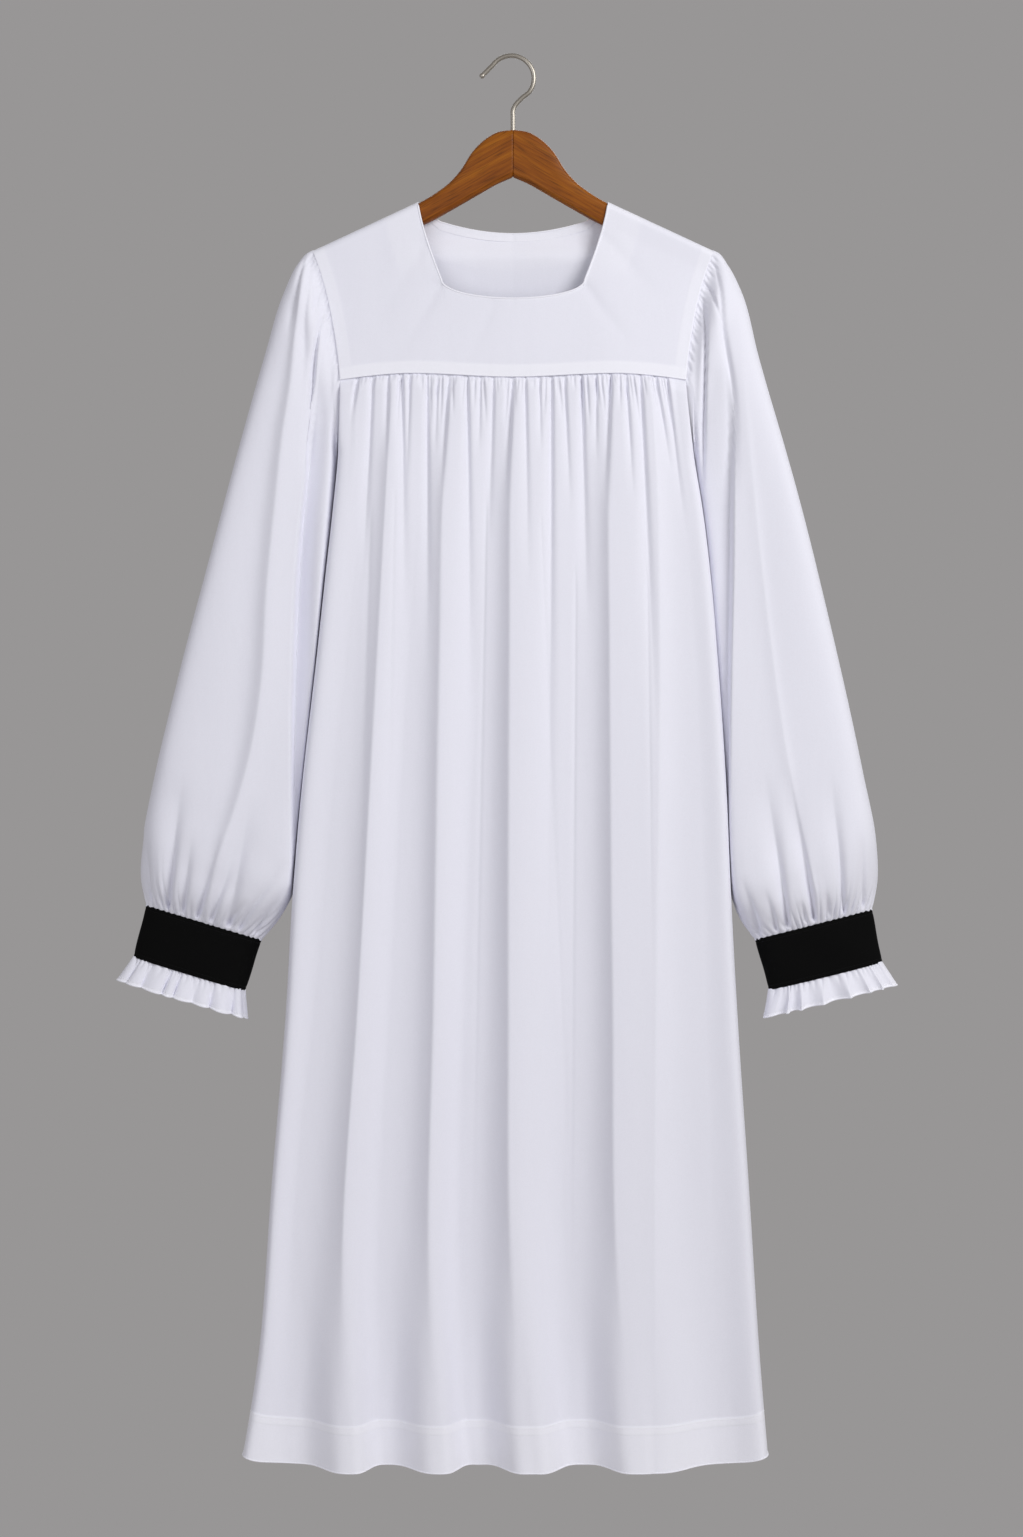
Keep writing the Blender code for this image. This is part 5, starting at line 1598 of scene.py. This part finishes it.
SEAM_STITCH, FRILL_STITCH_ROW = 0.0022, -4
white_rows = []
for face in (FRONT, BACK):
    net = tunic[face]
    row = len(net) - 1 - int(np.searchsorted(HEM_ROWS, HEM_DEPTH - SEAM_STITCH))
    white_rows.append(stitch_row(net[row], sheet_normals(net, face)[row]))
    seam_x = np.linspace(-YOKE_SEAM_X + 0.003, YOKE_SEAM_X - 0.003, 160)
    white_rows.append(stitch_row(*on_yoke(seam_x, yoke_seam_z(seam_x) + SEAM_STITCH, face)))
    arm_z = np.linspace(ARMHOLE_Z[0] - 0.012, ARMHOLE_Z[-1] + 0.003, 60)
    for side in (LEFT, RIGHT):
        arm_x = side * (armhole_x(arm_z, side) - SEAM_STITCH)
        white_rows.append(stitch_row(*on_yoke(arm_x, arm_z, face)))
for side in (LEFT, RIGHT):
    net = frills[side][1]
    row = FRILL_STITCH_ROW
    white_rows.append(stitch_row(net[row], ring_normals(net)[row], around=True))
stitches("white_stitching", white_rows, white_thread)

black_rows = []
for side in (LEFT, RIGHT):
    net = bands[side][1]
    normals = ring_normals(net)
    height = spaced(BAND_HEIGHT, 0.0004, 0.004, 0.3, len(net))
    for place in (STITCH_INSET, BAND_HEIGHT - STITCH_INSET):
        row = int(np.argmin(np.abs(height - place)))
        black_rows.append(stitch_row(net[row], normals[row], around=True))
stitches("black_stitching", black_rows, black_thread)

# %% [markdown]
# ## The hanger
# Each arm is sawn to an outline and its edges are rounded over. A section across it is a stadium: two
# half circles joined by flat faces. The sections follow the outline's top and underside.

# %% Hanger arms
# Columns: distance from the middle, top, underside
ARM = np.array((
    (0.0000, -0.0760, -0.1265),
    (0.0180, -0.0793, -0.1345),
    (0.0320, -0.0881, -0.1425),
    (0.0444, -0.1013, -0.1497),
    (0.0545, -0.1175, -0.1555),
    (0.0668, -0.1316, -0.1625),
    (0.0809, -0.1425, -0.1705),
    (0.1007, -0.1543, -0.1800),
    (0.1480, -0.1763, -0.1990),
    (0.1960, -0.1986, -0.2180),
))
ARM_HALF_THICKNESS = 0.0069
ARM_TIP = 0.009
JOINT_GROOVE = 0.0014


def arm_net(side, rows=130, columns=48):
    """Stadium sections along the arm, drawn in at the tip as half an ellipse."""
    far = ARM[-1, 0] + ARM_TIP
    x = spaced(far, 0.0001, 0.003, 0.08, rows)
    top = smooth_line(x, ARM[:, 0], ARM[:, 1])
    low = smooth_line(x, ARM[:, 0], ARM[:, 2])
    shrink = np.sqrt(np.clip(1 - np.clip((x - ARM[-1, 0]) / ARM_TIP, 0, 1) ** 2, 1e-4, 1))
    groove = JOINT_GROOVE * (1 - quarter_round(x / JOINT_GROOVE))
    middle = (top + low) / 2 - np.clip(x - ARM[-1, 0], 0, None) * SHOULDER_SLOPE
    half = (top - low) / 2 * shrink
    corner = np.minimum(ARM_HALF_THICKNESS * shrink, half)[:, None]
    flat = half[:, None] - corner
    corner = corner - groove[:, None]
    angle = np.linspace(0, 2 * np.pi, columns, endpoint=False)[None, :]
    y = -corner * np.cos(angle)
    z = middle[:, None] + np.sign(np.sin(angle)) * flat + corner * np.sin(angle)
    return np.stack([np.broadcast_to(side * x[:, None], y.shape), y, z], axis=2)


def closed_tube(name, net, finish):
    """A tube closed by a flat face at each end."""
    index = closed_round(numbered(*net.shape[:2]))
    ends = [index[0, :-1].tolist(), index[-1, :-1].tolist()]
    piece = closed_piece(name, net, quads(index).tolist() + ends, finish)
    piece.data.set_sharp_from_angle(angle=math.radians(50))
    return piece


for side, word in SIDES:
    arm = closed_tube(f"hanger_arm_{word}_wood", arm_net(side), hardwood[side])
    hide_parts(f"hanger_arm_{word}")

# %% [markdown]
# The hook is one length of wire: a straight stem, a short bend out, three quarters of a circle and a
# flared tip with a small ball, so that it doesn't scratch.

# %% Hook
WIRE = 0.005
HOOK_RADIUS, HOOK_CENTRE = 0.024, np.array((-0.0018, -0.0215))
BALL_RADIUS, BALL_PLACE, WIRE_END = 0.0029, 0.0025, 0.0004


def hook_path():
    """The wire's middle line: the route's points joined by the smooth line along their own length."""
    angle = np.radians(np.arange(-36, 145, 6))
    ring = HOOK_CENTRE + HOOK_RADIUS * np.stack([np.cos(angle), np.sin(angle)], axis=1)
    straight = np.array([(0, -0.098), (0, -0.078), (0, -0.062), (0, -0.056)])
    bend = np.array([(0.0013, -0.052), (0.0049, -0.047), (0.0105, -0.0416)])
    tip = np.array([(-0.0256, -0.0117), (-0.0292, -0.0154), (-0.0325, -0.0187), (-0.0345, -0.0207)])
    route = np.concatenate([straight, bend, ring, tip])
    along = distances(route)
    fine = smooth_line(np.linspace(0, along[-1], 260), along, route)
    return np.stack([fine[:, 0], np.zeros(len(fine)), fine[:, 1]], axis=1)


wire_path = hook_path()
from_tip = np.linalg.norm(wire_path - wire_path[-1], axis=1)
ball = BALL_RADIUS * np.sqrt(np.clip(1 - ((from_tip - BALL_PLACE) / BALL_RADIUS) ** 2, 0, 1))
wire_radius = np.maximum(np.where(from_tip < BALL_PLACE, WIRE_END, WIRE / 2), ball)
hook = tube_along("hanger_hook_wire", wire_path, wire_radius, nickel, "wire", sides=24)
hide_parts("hanger_hook")

# %% [markdown]

# %% [markdown]
# ## The floor
# The garment hangs, so the floor is only there to catch a soft shadow when it is seen from above. It is
# a pale disc with a fine plaster grain.

# %% Floor
floor_finish, floor_tree, floor_shader = new_material("Pale plaster floor", 0.8)
floor_spot = add_node(floor_tree, "ShaderNodeTexCoord").outputs["Object"]
floor_tone = between(floor_tree, "#cfcdca", "#dddbd8", noise(floor_tree, floor_spot, 40.0, 6.0))
floor_tree.links.new(floor_tone, floor_shader.inputs["Base Color"])
FLOOR_Z, FLOOR_RADIUS = -1.72, 0.62
FLOOR_RINGS, FLOOR_SIDES = 12, 96
radius = np.linspace(0.002, FLOOR_RADIUS, FLOOR_RINGS)[:, None]
angle = np.linspace(0, 2 * np.pi, FLOOR_SIDES, endpoint=False)[None, :]
level = np.full((FLOOR_RINGS, FLOOR_SIDES), FLOOR_Z)
floor_net = np.stack([radius * np.cos(angle), radius * np.sin(angle), level], axis=2)
floor_faces = quads(closed_round(numbered(FLOOR_RINGS, FLOOR_SIDES)))[:, (0, 3, 2, 1)]
floor_mesh = bpy.data.meshes.new("Floor")
floor_mesh.from_pydata(floor_net.reshape(-1, 3), [], floor_faces.tolist() + [list(range(FLOOR_SIDES))])
floor_mesh.materials.append(floor_finish)
floor = in_scene("Floor", floor_mesh)
